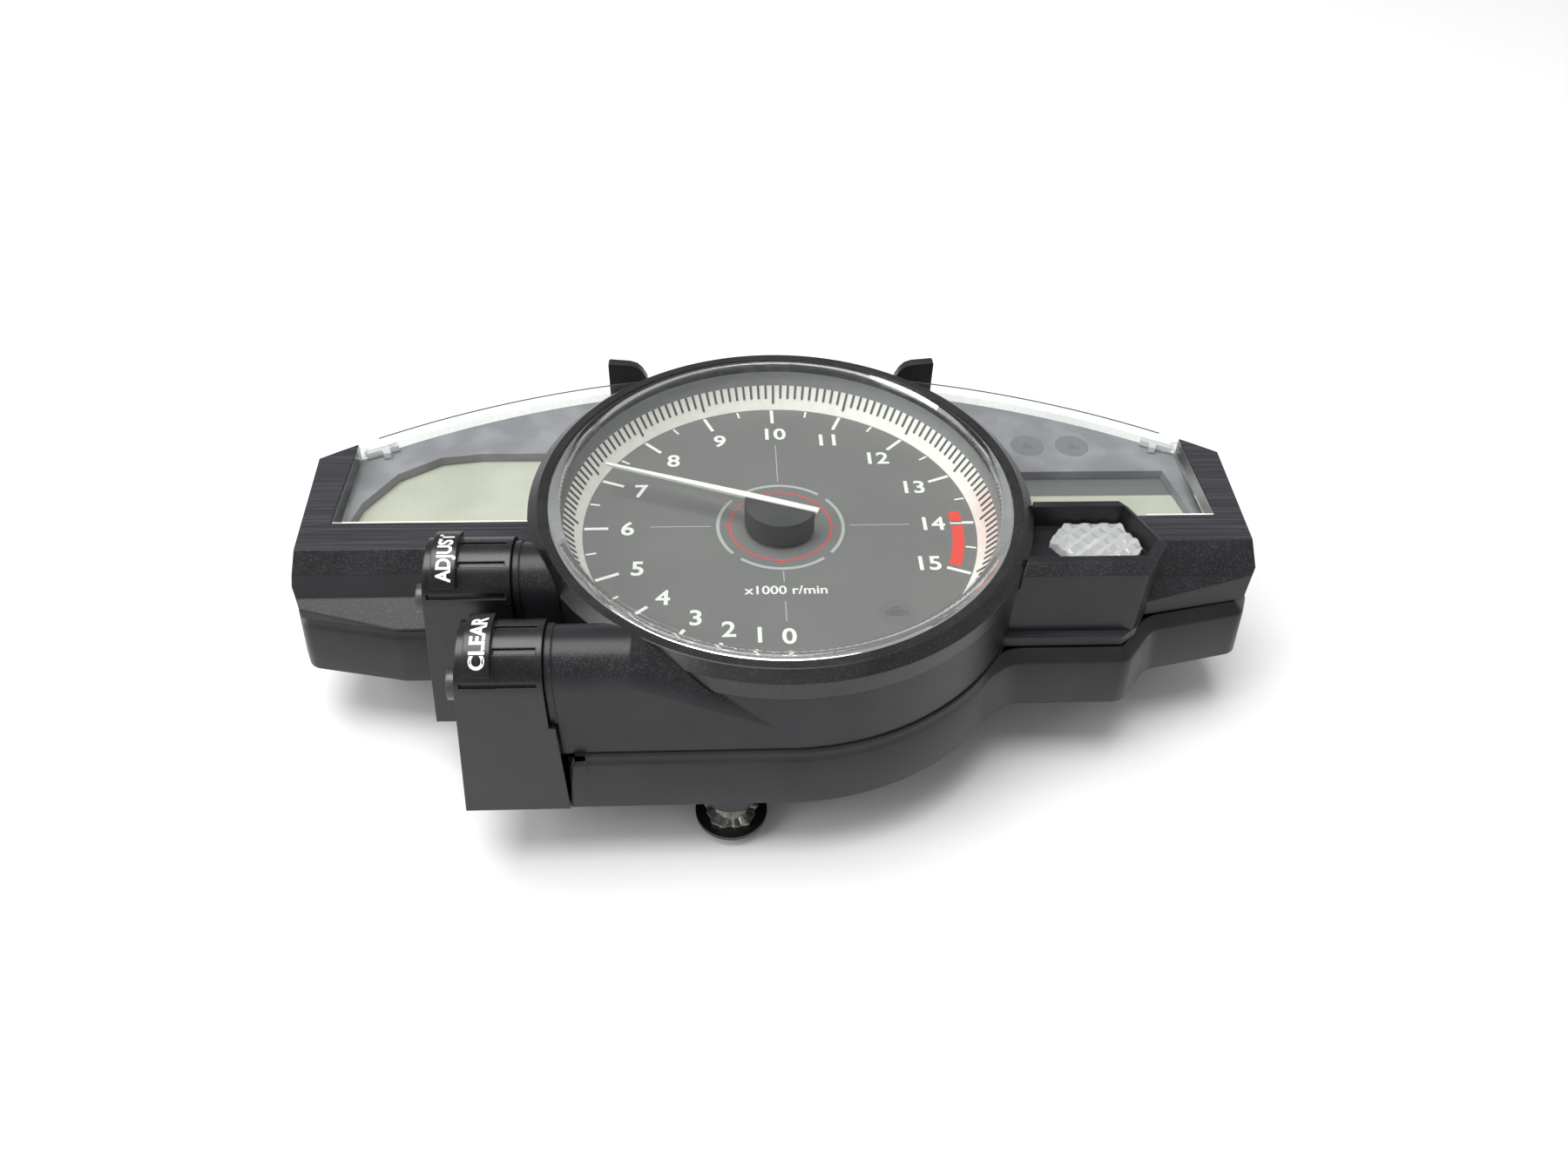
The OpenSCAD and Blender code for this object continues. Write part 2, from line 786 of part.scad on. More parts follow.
module motor_terminals() {
    color("silver") on_dial_axis() for (p = terminal_xy())
        disc(0.35, board_z - 0.8, board_top + 3, p);
}

// Outline of an involute-like gear with 25 degree flanks, cut thin for clearance
module gear_plan(teeth, m, thin = 0.1) {
    r = m * teeth / 2;
    pitch_half = 90 / teeth - thin / 2 / r * 180 / PI;
    tip_half = pitch_half - 0.9 * m * tan(25) / r * 180 / PI;
    root_half = pitch_half + 1.0 * m * tan(25) / r * 180 / PI;
    tooth = [[r - 1.25 * m, -root_half], [r, -pitch_half], [r + 0.9 * m, -tip_half],
             [r + 0.9 * m, tip_half], [r, pitch_half], [r - 1.25 * m, root_half]];
    polygon([for (k = [0:teeth - 1], p = tooth)
        let (a = 360 * k / teeth + p[1]) [p[0] * cos(a), p[0] * sin(a)]]);
}

module rotor_magnet() {
    color("#3d3d42") on_dial_axis() difference() {
        disc(3.2, wheel_z + 1.6, wheel_z + 4.2, rotor_xy);
        disc(0.95, wheel_z, far, rotor_xy);
    }
}

// The rotor's pinion and the sleeve that carries the magnet
module rotor_pinion() {
    color("ivory") on_dial_axis() translate([rotor_xy[0], rotor_xy[1], 0]) difference() {
        union() {
            slab(wheel_z - 0.1, wheel_z + 1.3)
                rotate(rotor_deg + 180 + 180 / pinion_teeth) gear_plan(pinion_teeth, wheel_m, 0.09);
            disc(0.94, wheel_z + 1.2, wheel_z + 4.2);
            disc(1.5, wheel_z + 1.29, wheel_z + 1.55);
        }
        disc(axle_r + 0.05, 0, far);
    }
}

module middle_gear() {
    color("ivory") on_dial_axis() translate([middle_x, 0, 0]) difference() {
        union() {
            slab(wheel_z, wheel_z + 1.2) rotate(rotor_deg) gear_plan(wheel_teeth, wheel_m, 0.09);
            slab(wheel_z + 1.1, output_gear_z + 1.4)
                rotate(180 + 180 / pinion_teeth) gear_plan(pinion_teeth, output_m);
        }
        disc(axle_r + 0.05, 0, far);
    }
}

module output_gear() {
    color("ivory") on_dial_axis() difference() {
        union() {
            slab(output_gear_z, output_gear_z + 1.3) gear_plan(output_teeth, output_m);
            disc(2, output_gear_z - 1.2, output_gear_z + 1.8);
        }
        disc(shaft_r + 0.01, 0, far);
    }
}

module output_shaft() {
    color("silver") on_dial_axis() disc(shaft_r, board_top + 1.6, dial_z + 4.4);
}

// Clear blade with a white upper edge, set on edge along the pointer's line
module pointer_blade() {
    color("#f2f2f2") on_dial_axis() rotate(pointer_deg) intersection() {
        along_y(-3, 3)
            polygon([[-9, dial_z + 7.4], [pointer_l, dial_z + 7.4], [pointer_l, dial_z + 6.8],
                     [8.9, dial_z + 2.2], [8.9, dial_z + 5.2], [-9, dial_z + 5.2]]);
        slab(dial_z, far) polygon([[-9, -0.8], [9, -0.9], [pointer_l, -0.35],
                                   [pointer_l, 0.35], [9, 0.9], [-9, 0.8]]);
    }
}

// Cap on the hub: a half-round top in front of the blade on a low round foot
module pointer_cap() {
    color("#1a1a1c") on_dial_axis() rotate(pointer_deg) difference() {
        union() {
            disc(6, dial_z + 1.2, dial_z + 2.2);
            intersection() {
                disc(8.5, dial_z + 1.2, dial_z + 7.2);
                block([-9, 0.95, dial_z], [9, 9, far]);
            }
            disc(2, dial_z + 2, dial_z + 5.1);
        }
        disc(shaft_r + 0.01, 0, dial_z + 4.5);
        block([-10, -0.94, dial_z + 5.15], [10, 0.94, far]);
    }
}

// Push button with a shoulder inside the barrel and a stem that reaches the switch
module button(k) {
    x = end_x(k);
    translate([0, barrel_y[k], button_z]) rotate([0, 90, 0]) {
        translate([0, 0, x - button_out]) cylinder(r = button_r, h = button_out + 3.6);
        translate([0, 0, x + 3.5]) cylinder(r = 4.2, h = 1);
        translate([0, 0, x + 4.4]) cylinder(r = 1.4, h = 3);
    }
}

module button_upper() {
    color("#2a2a2c") on_dial_axis() button(0);
}

module button_lower() {
    color("#2a2a2c") on_dial_axis() button(1);
}

function end_x(k) = barrel_left[k] + barrel_lean * (button_z - back_z) / (70 - back_z);

function tip_x(k) = end_x(k) + 7.42;

module switch_tip(k) {
    translate([tip_x(k), barrel_y[k], button_z]) rotate([0, 90, 0]) cylinder(r = 1, h = 2.4);
}

module switch_tip_upper() {
    color("#dcd7c8") on_dial_axis() switch_tip(0);
}

module switch_tip_lower() {
    color("#dcd7c8") on_dial_axis() switch_tip(1);
}

module switch_bodies() {
    color("#303034") on_dial_axis() for (k = [0, 1]) difference() {
        translate([0, barrel_y[k], button_z])
            block([tip_x(k) + 1.6, -3, -3], [tip_x(k) + 5, 3, 3]);
        translate([tip_x(k), barrel_y[k], button_z]) rotate([0, 90, 0])
            cylinder(r = 1.08, h = 4.2);
    }
}

module switch_boards() {
    color("darkgreen") on_dial_axis() for (k = [0, 1]) translate([tip_x(k), barrel_y[k], 0]) {
        block([5.02, -4.6, seam_z + 2], [6.2, 4.6, button_z + 7]);
        block([5.02, -4.6, back_z + 2.25], [6.2, 1, seam_z + 2.1]);
    }
}

// Rubber rings round the buttons, just inside the barrels' ends
module button_seals() {
    color("#101011") on_dial_axis() for (k = [0, 1])
        translate([end_x(k) + 2.85, barrel_y[k], button_z]) rotate([0, 90, 0])
            difference() {
                cylinder(r = 4.4, h = 0.55);
                translate([0, 0, -1]) cylinder(r = button_r + 0.1, h = 3);
            }
}

module front_gasket() {
    color("#101011") on_dial_axis() difference() {
        slab(seam_z - 0.58, seam_z - 0.02) seam_plan(0.5);
        slab(seam_z - 1, seam_z + 1) seam_plan(wall);
    }
}

module rear_cover() {
    color("#1b1b1d") on_dial_axis() difference() {
        union() {
            slab(cover_plate_z, gasket_z) case_plan(wall + 0.2);
            for (side = [-1, 1]) {
                disc(boss_r + 1, boss_z, cover_plate_z + 1, [side * peg_x, peg_y]);
                disc(peg_r, boss_z - peg_l, boss_z + 1, [side * peg_x, peg_y]);
            }
            disc(boss_r, boss_z, cover_plate_z + 1, screw_xy);
            translate([socket_xy[0], socket_xy[1], 0]) slab(socket_z, cover_plate_z + 1)
                square([socket_w, socket_d], center = true);
        }
        for (p = rear_screw_xy) disc(screw_r + 0.3, cover_plate_z - 1, gasket_z + 1, p);
        disc(2.5, boss_z - 1, gasket_z + 1, screw_xy);
        translate([socket_xy[0], socket_xy[1], 0]) slab(socket_z - 1, cover_plate_z - 1.5)
            square([socket_w - 4, socket_d - 4], center = true);
        for (p = pin_xy()) disc(0.5, cover_plate_z - 2, gasket_z + 1, p);
        disc(3, cover_plate_z - 1, gasket_z + 1, [-40, 30]);
    }
}

module rear_gasket() {
    color("#101011") on_dial_axis() difference() {
        slab(gasket_z + 0.01, flange_z - 0.01) case_plan(wall + 0.3);
        slab(gasket_z - 1, flange_z + 1) case_plan(wall + 4.7);
        for (p = rear_screw_xy) disc(screw_r + 0.3, gasket_z - 1, flange_z + 1, p);
    }
}

module rear_screws() {
    color("silver") on_dial_axis() for (p = rear_screw_xy) {
        disc(2.6, cover_plate_z - 1.8, cover_plate_z - 0.02, p);
        disc(screw_r, cover_plate_z - 0.03, flange_z + 5, p);
    }
}

// Breather plug pressed into the rear cover
module vent_plug() {
    color("#101011") on_dial_axis() {
        disc(2.98, cover_plate_z - 1, gasket_z, [-40, 30]);
        disc(4.5, cover_plate_z - 1.6, cover_plate_z - 0.01, [-40, 30]);
    }
}

module mount_screw() {
    color("silver") on_dial_axis() {
        translate([screw_xy[0], screw_xy[1], 0]) cylinder(r = 4.4, h = 3, $fn = 6);
        disc(2.45, 2.9, gasket_z - 0.5, screw_xy);
    }
}

module mount_washer() {
    color("#141415") on_dial_axis() difference() {
        disc(washer_r, washer_z - 1, washer_z, screw_xy);
        disc(2.55, 0, far, screw_xy);
    }
}

module mount_collar() {
    color("#c9c7bd") on_dial_axis() difference() {
        disc(3.9, washer_z + 0.01, boss_z - 0.01, screw_xy);
        disc(2.55, 0, far, screw_xy);
    }
}

base_case();
switch_housing();
housing_floor();
front_cover();
bezel_ring();
tach_lens();
wing_lens_left();
wing_lens_right();
tick_ring();
dial_plate();
dial_light_guide();
mask_left();
mask_right();
lcd_left();
lcd_right();
backlight_left();
backlight_right();
contact_strips();
light_box();
circuit_board();
board_screws();
backlight_leds();
warning_leds();
shift_lens();
shift_reflector();
shift_led();
processor();
capacitors();
connector_pins();
connector_seal();
motor_tray();
motor_lid();
motor_coils();
motor_cores();
motor_terminals();
rotor_magnet();
rotor_pinion();
middle_gear();
output_gear();
output_shaft();
pointer_blade();
pointer_cap();
button_upper();
button_lower();
switch_tip_upper();
switch_tip_lower();
switch_bodies();
switch_boards();
button_seals();
front_gasket();
rear_cover();
rear_gasket();
rear_screws();
vent_plug();
mount_screw();
mount_washer();
mount_collar();
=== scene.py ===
"""Looks of a motorcycle instrument cluster that lies on its back on a pale floor.

The cluster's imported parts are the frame. Each sub-assembly has a class here that adds its printed
or moulded detail and gives its parts their finishes. Lengths are in millimetres, measured from the
dial's axis and the resting surface, until a mesh is made in metres.
"""

from __future__ import annotations

import logging
import math
from collections.abc import Callable, Iterable, Sequence
from dataclasses import dataclass, field
from enum import Enum

import bmesh
import bpy
from mathutils import Euler, Matrix, Vector


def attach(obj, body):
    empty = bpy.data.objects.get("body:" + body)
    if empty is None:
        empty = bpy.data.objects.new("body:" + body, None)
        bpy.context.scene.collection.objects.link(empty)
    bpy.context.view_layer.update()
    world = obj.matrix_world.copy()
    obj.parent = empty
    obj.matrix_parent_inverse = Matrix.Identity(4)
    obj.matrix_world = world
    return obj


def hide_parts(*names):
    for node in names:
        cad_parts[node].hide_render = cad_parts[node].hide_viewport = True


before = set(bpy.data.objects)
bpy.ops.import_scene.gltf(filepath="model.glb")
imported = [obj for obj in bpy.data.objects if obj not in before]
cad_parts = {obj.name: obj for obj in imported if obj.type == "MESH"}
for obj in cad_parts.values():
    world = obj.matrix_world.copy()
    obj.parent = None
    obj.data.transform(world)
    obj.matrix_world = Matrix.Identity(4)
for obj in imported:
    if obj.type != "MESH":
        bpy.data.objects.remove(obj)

LOG = logging.getLogger("instrument_cluster")
MM = 0.001
DIAL_Y = 0.05
DIAL_Z = 46.0
HOUSING = "housing"
CAPITAL = 0.73  # height of a capital as a share of the letter size
Colour = tuple[float, float, float]
Point = tuple[float, float, float]
Corners = tuple[tuple[float, float], ...]
Outline = list[tuple[float, float]]


def to_linear(value: float) -> float:
    """Returns a display brightness of 0 to 1 as light."""
    return value / 12.92 if value <= 0.04045 else ((value + 0.055) / 1.055) ** 2.4


def shade(red: int, green: int, blue: int) -> Colour:
    """Returns a colour given in display steps of 0 to 255 as light."""
    return (to_linear(red / 255), to_linear(green / 255), to_linear(blue / 255))


class Socket:
    """One output in a shader tree, which written-out maths can use."""

    def __init__(self, tree: Tree, link: bpy.types.NodeSocket) -> None:
        """Keeps the tree and the output.

        Args:
            tree: The tree that the output belongs to.
            link: The output itself.
        """
        self.tree = tree
        self.link = link

    def _with(self, operation: str, first: Value, second: Value = 0.0) -> Socket:
        """Returns the output of one Math node."""
        return self.tree.node(
            "ShaderNodeMath", {"operation": operation}, {0: first, 1: second}
        )

    def __add__(self, other: Value) -> Socket:
        """Returns self + other."""
        return self._with("ADD", self, other)

    def __sub__(self, other: Value) -> Socket:
        """Returns self - other."""
        return self._with("SUBTRACT", self, other)

    def __rsub__(self, other: Value) -> Socket:
        """Returns other - self."""
        return self._with("SUBTRACT", other, self)

    def __mul__(self, other: Value) -> Socket:
        """Returns self * other."""
        return self._with("MULTIPLY", self, other)

    def __pow__(self, other: Value) -> Socket:
        """Returns self to the power of other."""
        return self._with("POWER", self, other)

    def __gt__(self, other: Value) -> Socket:
        """Returns 1 where self is over other, else 0."""
        return self._with("GREATER_THAN", self, other)

    def __lt__(self, other: Value) -> Socket:
        """Returns 1 where self is under other, else 0."""
        return self._with("LESS_THAN", self, other)

    __radd__ = __add__
    __rmul__ = __mul__

    def wave(self) -> Socket:
        """Returns the sine of self."""
        return self._with("SINE", self)

    def size(self) -> Socket:
        """Returns self without its sign."""
        return self._with("ABSOLUTE", self)

    def part(self) -> Socket:
        """Returns what self has after its point."""
        return self._with("FRACT", self)

    def step(self, low: float, high: float) -> Socket:
        """Returns a soft step from 0 at low to 1 at high.

        Args:
            low: Where the step starts.
            high: Where the step ends.

        Returns:
            The step's value.
        """
        return self.tree.node(
            "ShaderNodeMapRange",
            {"interpolation_type": "SMOOTHSTEP"},
            {0: self, 1: low, 2: high, 3: 0.0, 4: 1.0},
        )


Value = float | Socket


class Tree:
    """A material's node tree."""

    def __init__(self, name: str) -> None:
        """Starts an empty tree.

        Args:
            name: The material's name.
        """
        self.material = bpy.data.materials.new(name)
        self.material.use_nodes = True
        self.nodes = self.material.node_tree.nodes
        self.nodes.clear()

    def node(
        self,
        kind: str,
        settings: dict[str, object] | None = None,
        inputs: dict[int | str, object] | None = None,
        output: int | str = 0,
    ) -> Socket:
        """Adds one node.

        Args:
            kind: The node's type.
            settings: Its settings.
            inputs: Values or links of its sockets.
            output: The output that is wanted.

        Returns:
            That output.
        """
        made = self.nodes.new(kind)
        for key, value in (settings or {}).items():
            setattr(made, key, value)
        for key, value in (inputs or {}).items():
            if isinstance(value, Socket):
                self.material.node_tree.links.new(value.link, made.inputs[key])
            else:
                made.inputs[key].default_value = value
        return Socket(self, made.outputs[output])

    def place(self) -> Socket:
        """Returns the place on the object, in metres."""
        return self.node("ShaderNodeTexCoord", output="Object")

    def along(self, axis: str) -> Socket:
        """Returns the place along X, Y or Z, in millimetres."""
        return (
            self.node("ShaderNodeSeparateXYZ", inputs={0: self.place()}, output=axis)
            * 1000
        )

    def facing(self, axis: str) -> Socket:
        """Returns the surface normal's part along X, Y or Z."""
        normal = self.node("ShaderNodeNewGeometry", output="Normal")
        return self.node("ShaderNodeSeparateXYZ", inputs={0: normal}, output=axis)

    def noise(
        self, size_mm: float, detail: float = 2.0, stretch: Point = (1, 1, 1)
    ) -> Socket:
        """Returns smooth noise.

        Args:
            size_mm: The size of its lumps.
            detail: How much finer noise is added.
            stretch: How much longer the lumps are along X, Y and Z.

        Returns:
            The noise, of 0 to 1.
        """
        scaled = self.node(
            "ShaderNodeVectorMath",
            {"operation": "DIVIDE"},
            {0: self.place(), 1: tuple(s * size_mm * MM for s in stretch)},
        )
        return self.node(
            "ShaderNodeTexNoise", None, {"Vector": scaled, "Scale": 1.0, "Detail": detail}
        )

    def specks(self, size_mm: float) -> Socket:
        """Returns a random value of 0 to 1 for each small cell."""
        cell = self.node(
            "ShaderNodeTexVoronoi",
            None,
            {"Vector": self.place(), "Scale": 1 / (size_mm * MM)},
            "Color",
        )
        return self.node("ShaderNodeSeparateColor", None, {0: cell}, "Red")

    def blend(self, share: Value, first: object, second: object) -> Socket:
        """Mixes two colours.

        Args:
            share: How much of the second colour there is.
            first: The first colour.
            second: The second colour.

        Returns:
            The mixed colour.
        """
        first, second = (
            c if isinstance(c, Socket) else (*c, 1.0) for c in (first, second)
        )
        return self.node(
            "ShaderNodeMix",
            {"data_type": "RGBA"},
            {"Factor": share, 6: first, 7: second},
            2,
        )

    def bumps(self, height: Socket, depth_mm: float, edge_mm: float = 0.0) -> Socket:
        """Returns a normal that is bumped by a height.

        Args:
            height: The height, of 0 to 1.
            depth_mm: How deep the height's whole range is.
            edge_mm: The radius that sharp edges are rounded to.

        Returns:
            The normal.
        """
        inputs: dict[int | str, object] = {
            "Height": height,
            "Distance": depth_mm * MM,
            "Strength": 1.0,
        }
        if edge_mm:
            inputs["Normal"] = self.rounded(edge_mm)
        return self.node("ShaderNodeBump", None, inputs)

    def rounded(self, edge_mm: float) -> Socket:
        """Returns the normal with sharp edges rounded to a radius."""
        return self.node("ShaderNodeBevel", {"samples": 4}, {"Radius": edge_mm * MM})

    def surface(self, **inputs: object) -> Socket:
        """Adds the main surface shader; an underscore stands for a space in a socket's name."""
        named = {key.replace("_", " "): value for key, value in inputs.items()}
        colour = named.get("Base Color")
        if isinstance(colour, tuple):
            named["Base Color"] = (*colour, 1.0)
        return self.node("ShaderNodeBsdfPrincipled", None, named)

    def finish(self, shader: Socket) -> bpy.types.Material:
        """Ends the tree with a shader.

        Args:
            shader: The shader's output.

        Returns:
            The material.
        """
        end = self.nodes.new("ShaderNodeOutputMaterial")
        self.material.node_tree.links.new(shader.link, end.inputs["Surface"])
        return self.material


class Finish:
    """A surface finish, made into a material once."""

    _made: dict[Finish, bpy.types.Material] = {}

    def material(self) -> bpy.types.Material:
        """Returns the finish's material."""
        if self not in Finish._made:
            Finish._made[self] = self.build()
        return Finish._made[self]

    def build(self) -> bpy.types.Material:
        """Makes the material."""
        raise NotImplementedError


@dataclass(frozen=True)
class Moulded(Finish):
    """Moulded plastic with a fine grain, slight cloudiness and softened edges.

    Attributes:
        name: The material's name.
        colour: The plastic's colour.
        roughness: Its mean roughness.
        grain_mm: The size of the grain.
        depth_mm: The grain's depth.
        edge_mm: The radius of the edges.
        glint: How bright the painted glints are: rare specks made lighter in the base colour.
        coat: How much clear coat lies on it.
    """

    name: str
    colour: Colour
    roughness: float = 0.45
    grain_mm: float = 0.25
    depth_mm: float = 0.006
    edge_mm: float = 0.35
    glint: float = 0.0
    coat: float = 0.0

    def build(self) -> bpy.types.Material:
        """Makes the material."""
        tree = Tree(self.name)
        cloud = tree.noise(9.0, 4.0)
        grain = tree.noise(self.grain_mm, 3.0)
        lighter = tuple(c * 1.35 + 0.003 for c in self.colour)
        base = tree.blend(cloud.step(0.35, 0.7), self.colour, lighter)
        # Painted glints: rare specks of the base colour are made lighter.
        if self.glint:
            specks = tree.specks(self.grain_mm * 1.3) > 0.9
            base = tree.blend(specks * self.glint, base, shade(150, 156, 150))
        rough = self.roughness + (cloud - 0.5) * 0.14 + (grain - 0.5) * 0.1
        return tree.finish(
            tree.surface(
                Base_Color=base,
                Roughness=rough,
                Coat_Weight=self.coat,
                Coat_Roughness=0.2,
                Normal=tree.bumps(grain, self.depth_mm, self.edge_mm),
            )
        )


@dataclass(frozen=True)
class CoverPlastic(Finish):
    """Black plastic with brush lines along X on its level wing tops, which are also painted lighter
    as a sheen of the light from above, and with glints painted as lighter specks on its chamfers.

    Attributes:
        name: The material's name.
        colour: The plastic's colour.
    """

    name: str = "cover_plastic"
    colour: Colour = shade(30, 30, 33)

    def build(self) -> bpy.types.Material:
        """Makes the material."""
        tree = Tree(self.name)
        level = tree.facing("Z").step(0.96, 0.995) * (tree.along("Z") < 48.5)
        lines = tree.noise(0.16, 2.0, (120, 1, 1))
        streaks = tree.noise(0.45, 1.0, (60, 1, 1))
        grain = tree.noise(0.3, 3.0)
        cloud = tree.noise(11.0, 3.0)
        # Painted glints: lighter specks only on the chamfers, which are picked by the way the
        # surface faces.
        chamfer = tree.facing("Z").step(0.25, 0.6) * (1 - tree.facing("Z").step(0.9, 0.97))
        specks = (tree.specks(0.2) > 0.85) * chamfer
        # Level wing tops: the brush streaks are real, and their lighter grey is a painted sheen of
        # the light from above.
        brushed_and_sheen = tree.blend(streaks.step(0.35, 0.75), shade(44, 44, 48), shade(64, 64, 69))
        plain = tree.blend(cloud.step(0.3, 0.7), self.colour, shade(38, 38, 41))
        base = tree.blend(level, plain, brushed_and_sheen)
        base = tree.blend(specks * 0.16, base, shade(116, 124, 116))
        rough = 0.32 + (lines - 0.5) * 0.3 * level + (cloud - 0.5) * 0.1
        height = lines * level + grain * (1 - level)
        return tree.finish(
            tree.surface(
                Base_Color=base,
                Roughness=rough,
                Specular_IOR_Level=0.3,
                Normal=tree.bumps(height, 0.01, 0.6),
            )
        )


@dataclass(frozen=True)
class ClearPlastic(Finish):
    """Clear plastic sheet: seen through, with a gloss that grows at low angles.

    Attributes:
        name: The material's name.
        tint: The tint of what is seen through it.
        haze: How much of it is milky.
        flank: How bright the streaks on its upright sides are.
        roughness: The gloss's roughness.
    """

    name: str
    tint: Colour = (0.97, 0.98, 0.97)
    haze: float = 0.015
    flank: float = 0.0
    roughness: float = 0.03

    def build(self) -> bpy.types.Material:
        """Makes the material."""
        tree = Tree(self.name)
        edge_on = tree.node("ShaderNodeLayerWeight", None, {"Blend": 0.5}, "Facing")
        smears = tree.noise(22.0, 3.0)
        upright = 1 - tree.facing("Z").size().step(0.3, 0.7)
        streaks = tree.noise(0.8, 2.0, (1, 1, 14)).step(0.35, 0.7)
        gloss = 0.035 + 0.965 * edge_on**5.0 + smears.step(0.45, 0.8) * self.haze
        gloss = gloss + upright * (0.25 + 0.75 * streaks) * self.flank
        clear = tree.node(
            "ShaderNodeBsdfTransparent", None, {"Color": (*self.tint, 1.0)}
        )
        coat = tree.surface(
            Base_Color=(0.85, 0.86, 0.85),
            Metallic=1.0,
            Roughness=self.roughness + smears * 0.03,
        )
        return tree.finish(
            tree.node("ShaderNodeMixShader", None, {0: gloss, 1: clear, 2: coat})
        )


@dataclass(frozen=True)
class ThickClear(Finish):
    """Thick clear plastic that bends what is seen through it.

    Attributes:
        name: The material's name.
        colour: Its slight tint.
        roughness: How frosted it is.
        clear: How much of the light it lets through.
    """

    name: str
    colour: Colour = (0.97, 0.98, 0.97)
    roughness: float = 0.02
    clear: float = 1.0

    def build(self) -> bpy.types.Material:
        """Makes the material."""
        tree = Tree(self.name)
        smears = tree.noise(4.0, 2.0)
        return tree.finish(
            tree.surface(
                Base_Color=tree.blend(smears, self.colour, (0.93, 0.94, 0.93)),
                Roughness=self.roughness + smears * 0.02,
                Transmission_Weight=self.clear,
                IOR=1.49,
            )
        )


@dataclass(frozen=True)
class Ink(Finish):
    """Printed ink with slightly uneven cover.

    Attributes:
        name: The material's name.
        colour: The ink's colour.
    """

    name: str
    colour: Colour

    def build(self) -> bpy.types.Material:
        """Makes the material."""
        tree = Tree(self.name)
        cover = tree.noise(0.6, 3.0)
        darker = tuple(c * 0.9 for c in self.colour)
        return tree.finish(
            tree.surface(
                Base_Color=tree.blend(cover.step(0.3, 0.75), self.colour, darker),
                Roughness=0.5 + cover * 0.15,
            )
        )


@dataclass(frozen=True)
class DialFilm(Finish):
    """Charcoal film of the dial's face with a fine stipple.

    Attributes:
        name: The material's name.
        colour: The film's darker colour.
        lighter: The film's lighter colour.
    """

    name: str = "dial_film"
    colour: Colour = shade(108, 107, 108)
    lighter: Colour = shade(119, 118, 118)

    def build(self) -> bpy.types.Material:
        """Makes the material."""
        tree = Tree(self.name)
        stipple = tree.noise(0.12, 2.0)
        cloud = tree.noise(14.0, 2.0)
        base = tree.blend(
            stipple.step(0.3, 0.7) * 0.6 + cloud.step(0.3, 0.7) * 0.3,
            self.colour,
            self.lighter,
        )
        return tree.finish(
            tree.surface(
                Base_Color=base,
                Roughness=0.55 + stipple * 0.2,
                Normal=tree.bumps(stipple, 0.004),
            )
        )


@dataclass(frozen=True)
class RingPlastic(Finish):
    """Ivory cone under a grey upper wall; the red band's reflected light is painted as a pink tint
    on the ivory beside it.

    Attributes:
        name: The material's name.
        cone_top_z: Height where the grey wall starts.
    """

    name: str = "ring_plastic"
    cone_top_z: float = 51.0

    def build(self) -> bpy.types.Material:
        """Makes the material."""
        tree = Tree(self.name)
        mottle = tree.noise(2.2, 3.0)
        grain = tree.noise(0.2, 2.0)
        # Painted reflection: the red band's light, painted as a soft pink tint on the ivory near
        # it.
        east = tree.along("X").step(42.0, 50.0)
        level = 1 - (tree.along("Y") + 4.0).size().step(6.0, 20.0)
        ivory = tree.blend(mottle.step(0.3, 0.7), shade(250, 248, 243), shade(243, 240, 233))
        ivory = tree.blend(east * level * 0.4, ivory, shade(226, 150, 140))
        # The upper wall's mid grey is partly painted: a dark wall with the lens's glare painted
        # over it.
        wall = tree.blend(mottle, shade(158, 159, 160), shade(138, 139, 141))
        upper = tree.along("Z").step(self.cone_top_z - 0.15, self.cone_top_z + 0.15)
        return tree.finish(
            tree.surface(
                Base_Color=tree.blend(upper, ivory, wall),
                Roughness=0.42 + mottle * 0.12,
                Normal=tree.bumps(grain, 0.004, 0.15),
            )
        )


@dataclass(frozen=True)
class DisplayGlass(Finish):
    """Idle liquid crystal panel: grey-green with faint segments, with painted shade of the mask's
    frame along its edge beyond a line.

    Attributes:
        name: The material's name.
        frame_shade_y: The line beyond which the panel is darkened as painted shade of the mask's
            frame.
    """

    name: str
    frame_shade_y: float = 99.0

    def build(self) -> bpy.types.Material:
        """Makes the material."""
        tree = Tree(self.name)
        across, up = tree.along("X"), tree.along("Y")
        cloud = tree.noise(16.0, 3.0)
        cells = ((across * 0.45).part() > 0.9) + ((up * 0.3).part() > 0.93)
        base = tree.blend(cloud.step(0.3, 0.7), shade(186, 188, 173), shade(201, 202, 187))
        base = tree.blend(cells * 0.05, base, shade(120, 124, 110))
        # Painted shade: beyond frame_shade_y the panel is darkened, where the mask's frame shades
        # it.
        dark = up.step(self.frame_shade_y - 0.2, self.frame_shade_y + 0.2)
        base = tree.blend(dark, base, shade(110, 111, 112))
        return tree.finish(
            tree.surface(
                Base_Color=base,
                Roughness=0.3 + cloud * 0.12,
                Coat_Weight=0.5,
                Coat_Roughness=0.08,
            )
        )


@dataclass(frozen=True)
class Metal(Finish):
    """Plated or plain metal with fine scratches and tarnish.

    Attributes:
        name: The material's name.
        colour: The metal's colour.
        tarnish: The colour of its dull patches.
        roughness: Its mean roughness.
    """

    name: str
    colour: Colour
    tarnish: Colour
    roughness: float = 0.3

    def build(self) -> bpy.types.Material:
        """Makes the material."""
        tree = Tree(self.name)
        patches = tree.noise(1.8, 4.0)
        scratches = tree.noise(0.15, 2.0)
        return tree.finish(
            tree.surface(
                Base_Color=tree.blend(patches.step(0.45, 0.75), self.colour, self.tarnish),
                Metallic=1.0,
                Roughness=self.roughness + patches * 0.15 + (scratches - 0.5) * 0.2,
                Normal=tree.bumps(scratches, 0.01, 0.2),
            )
        )


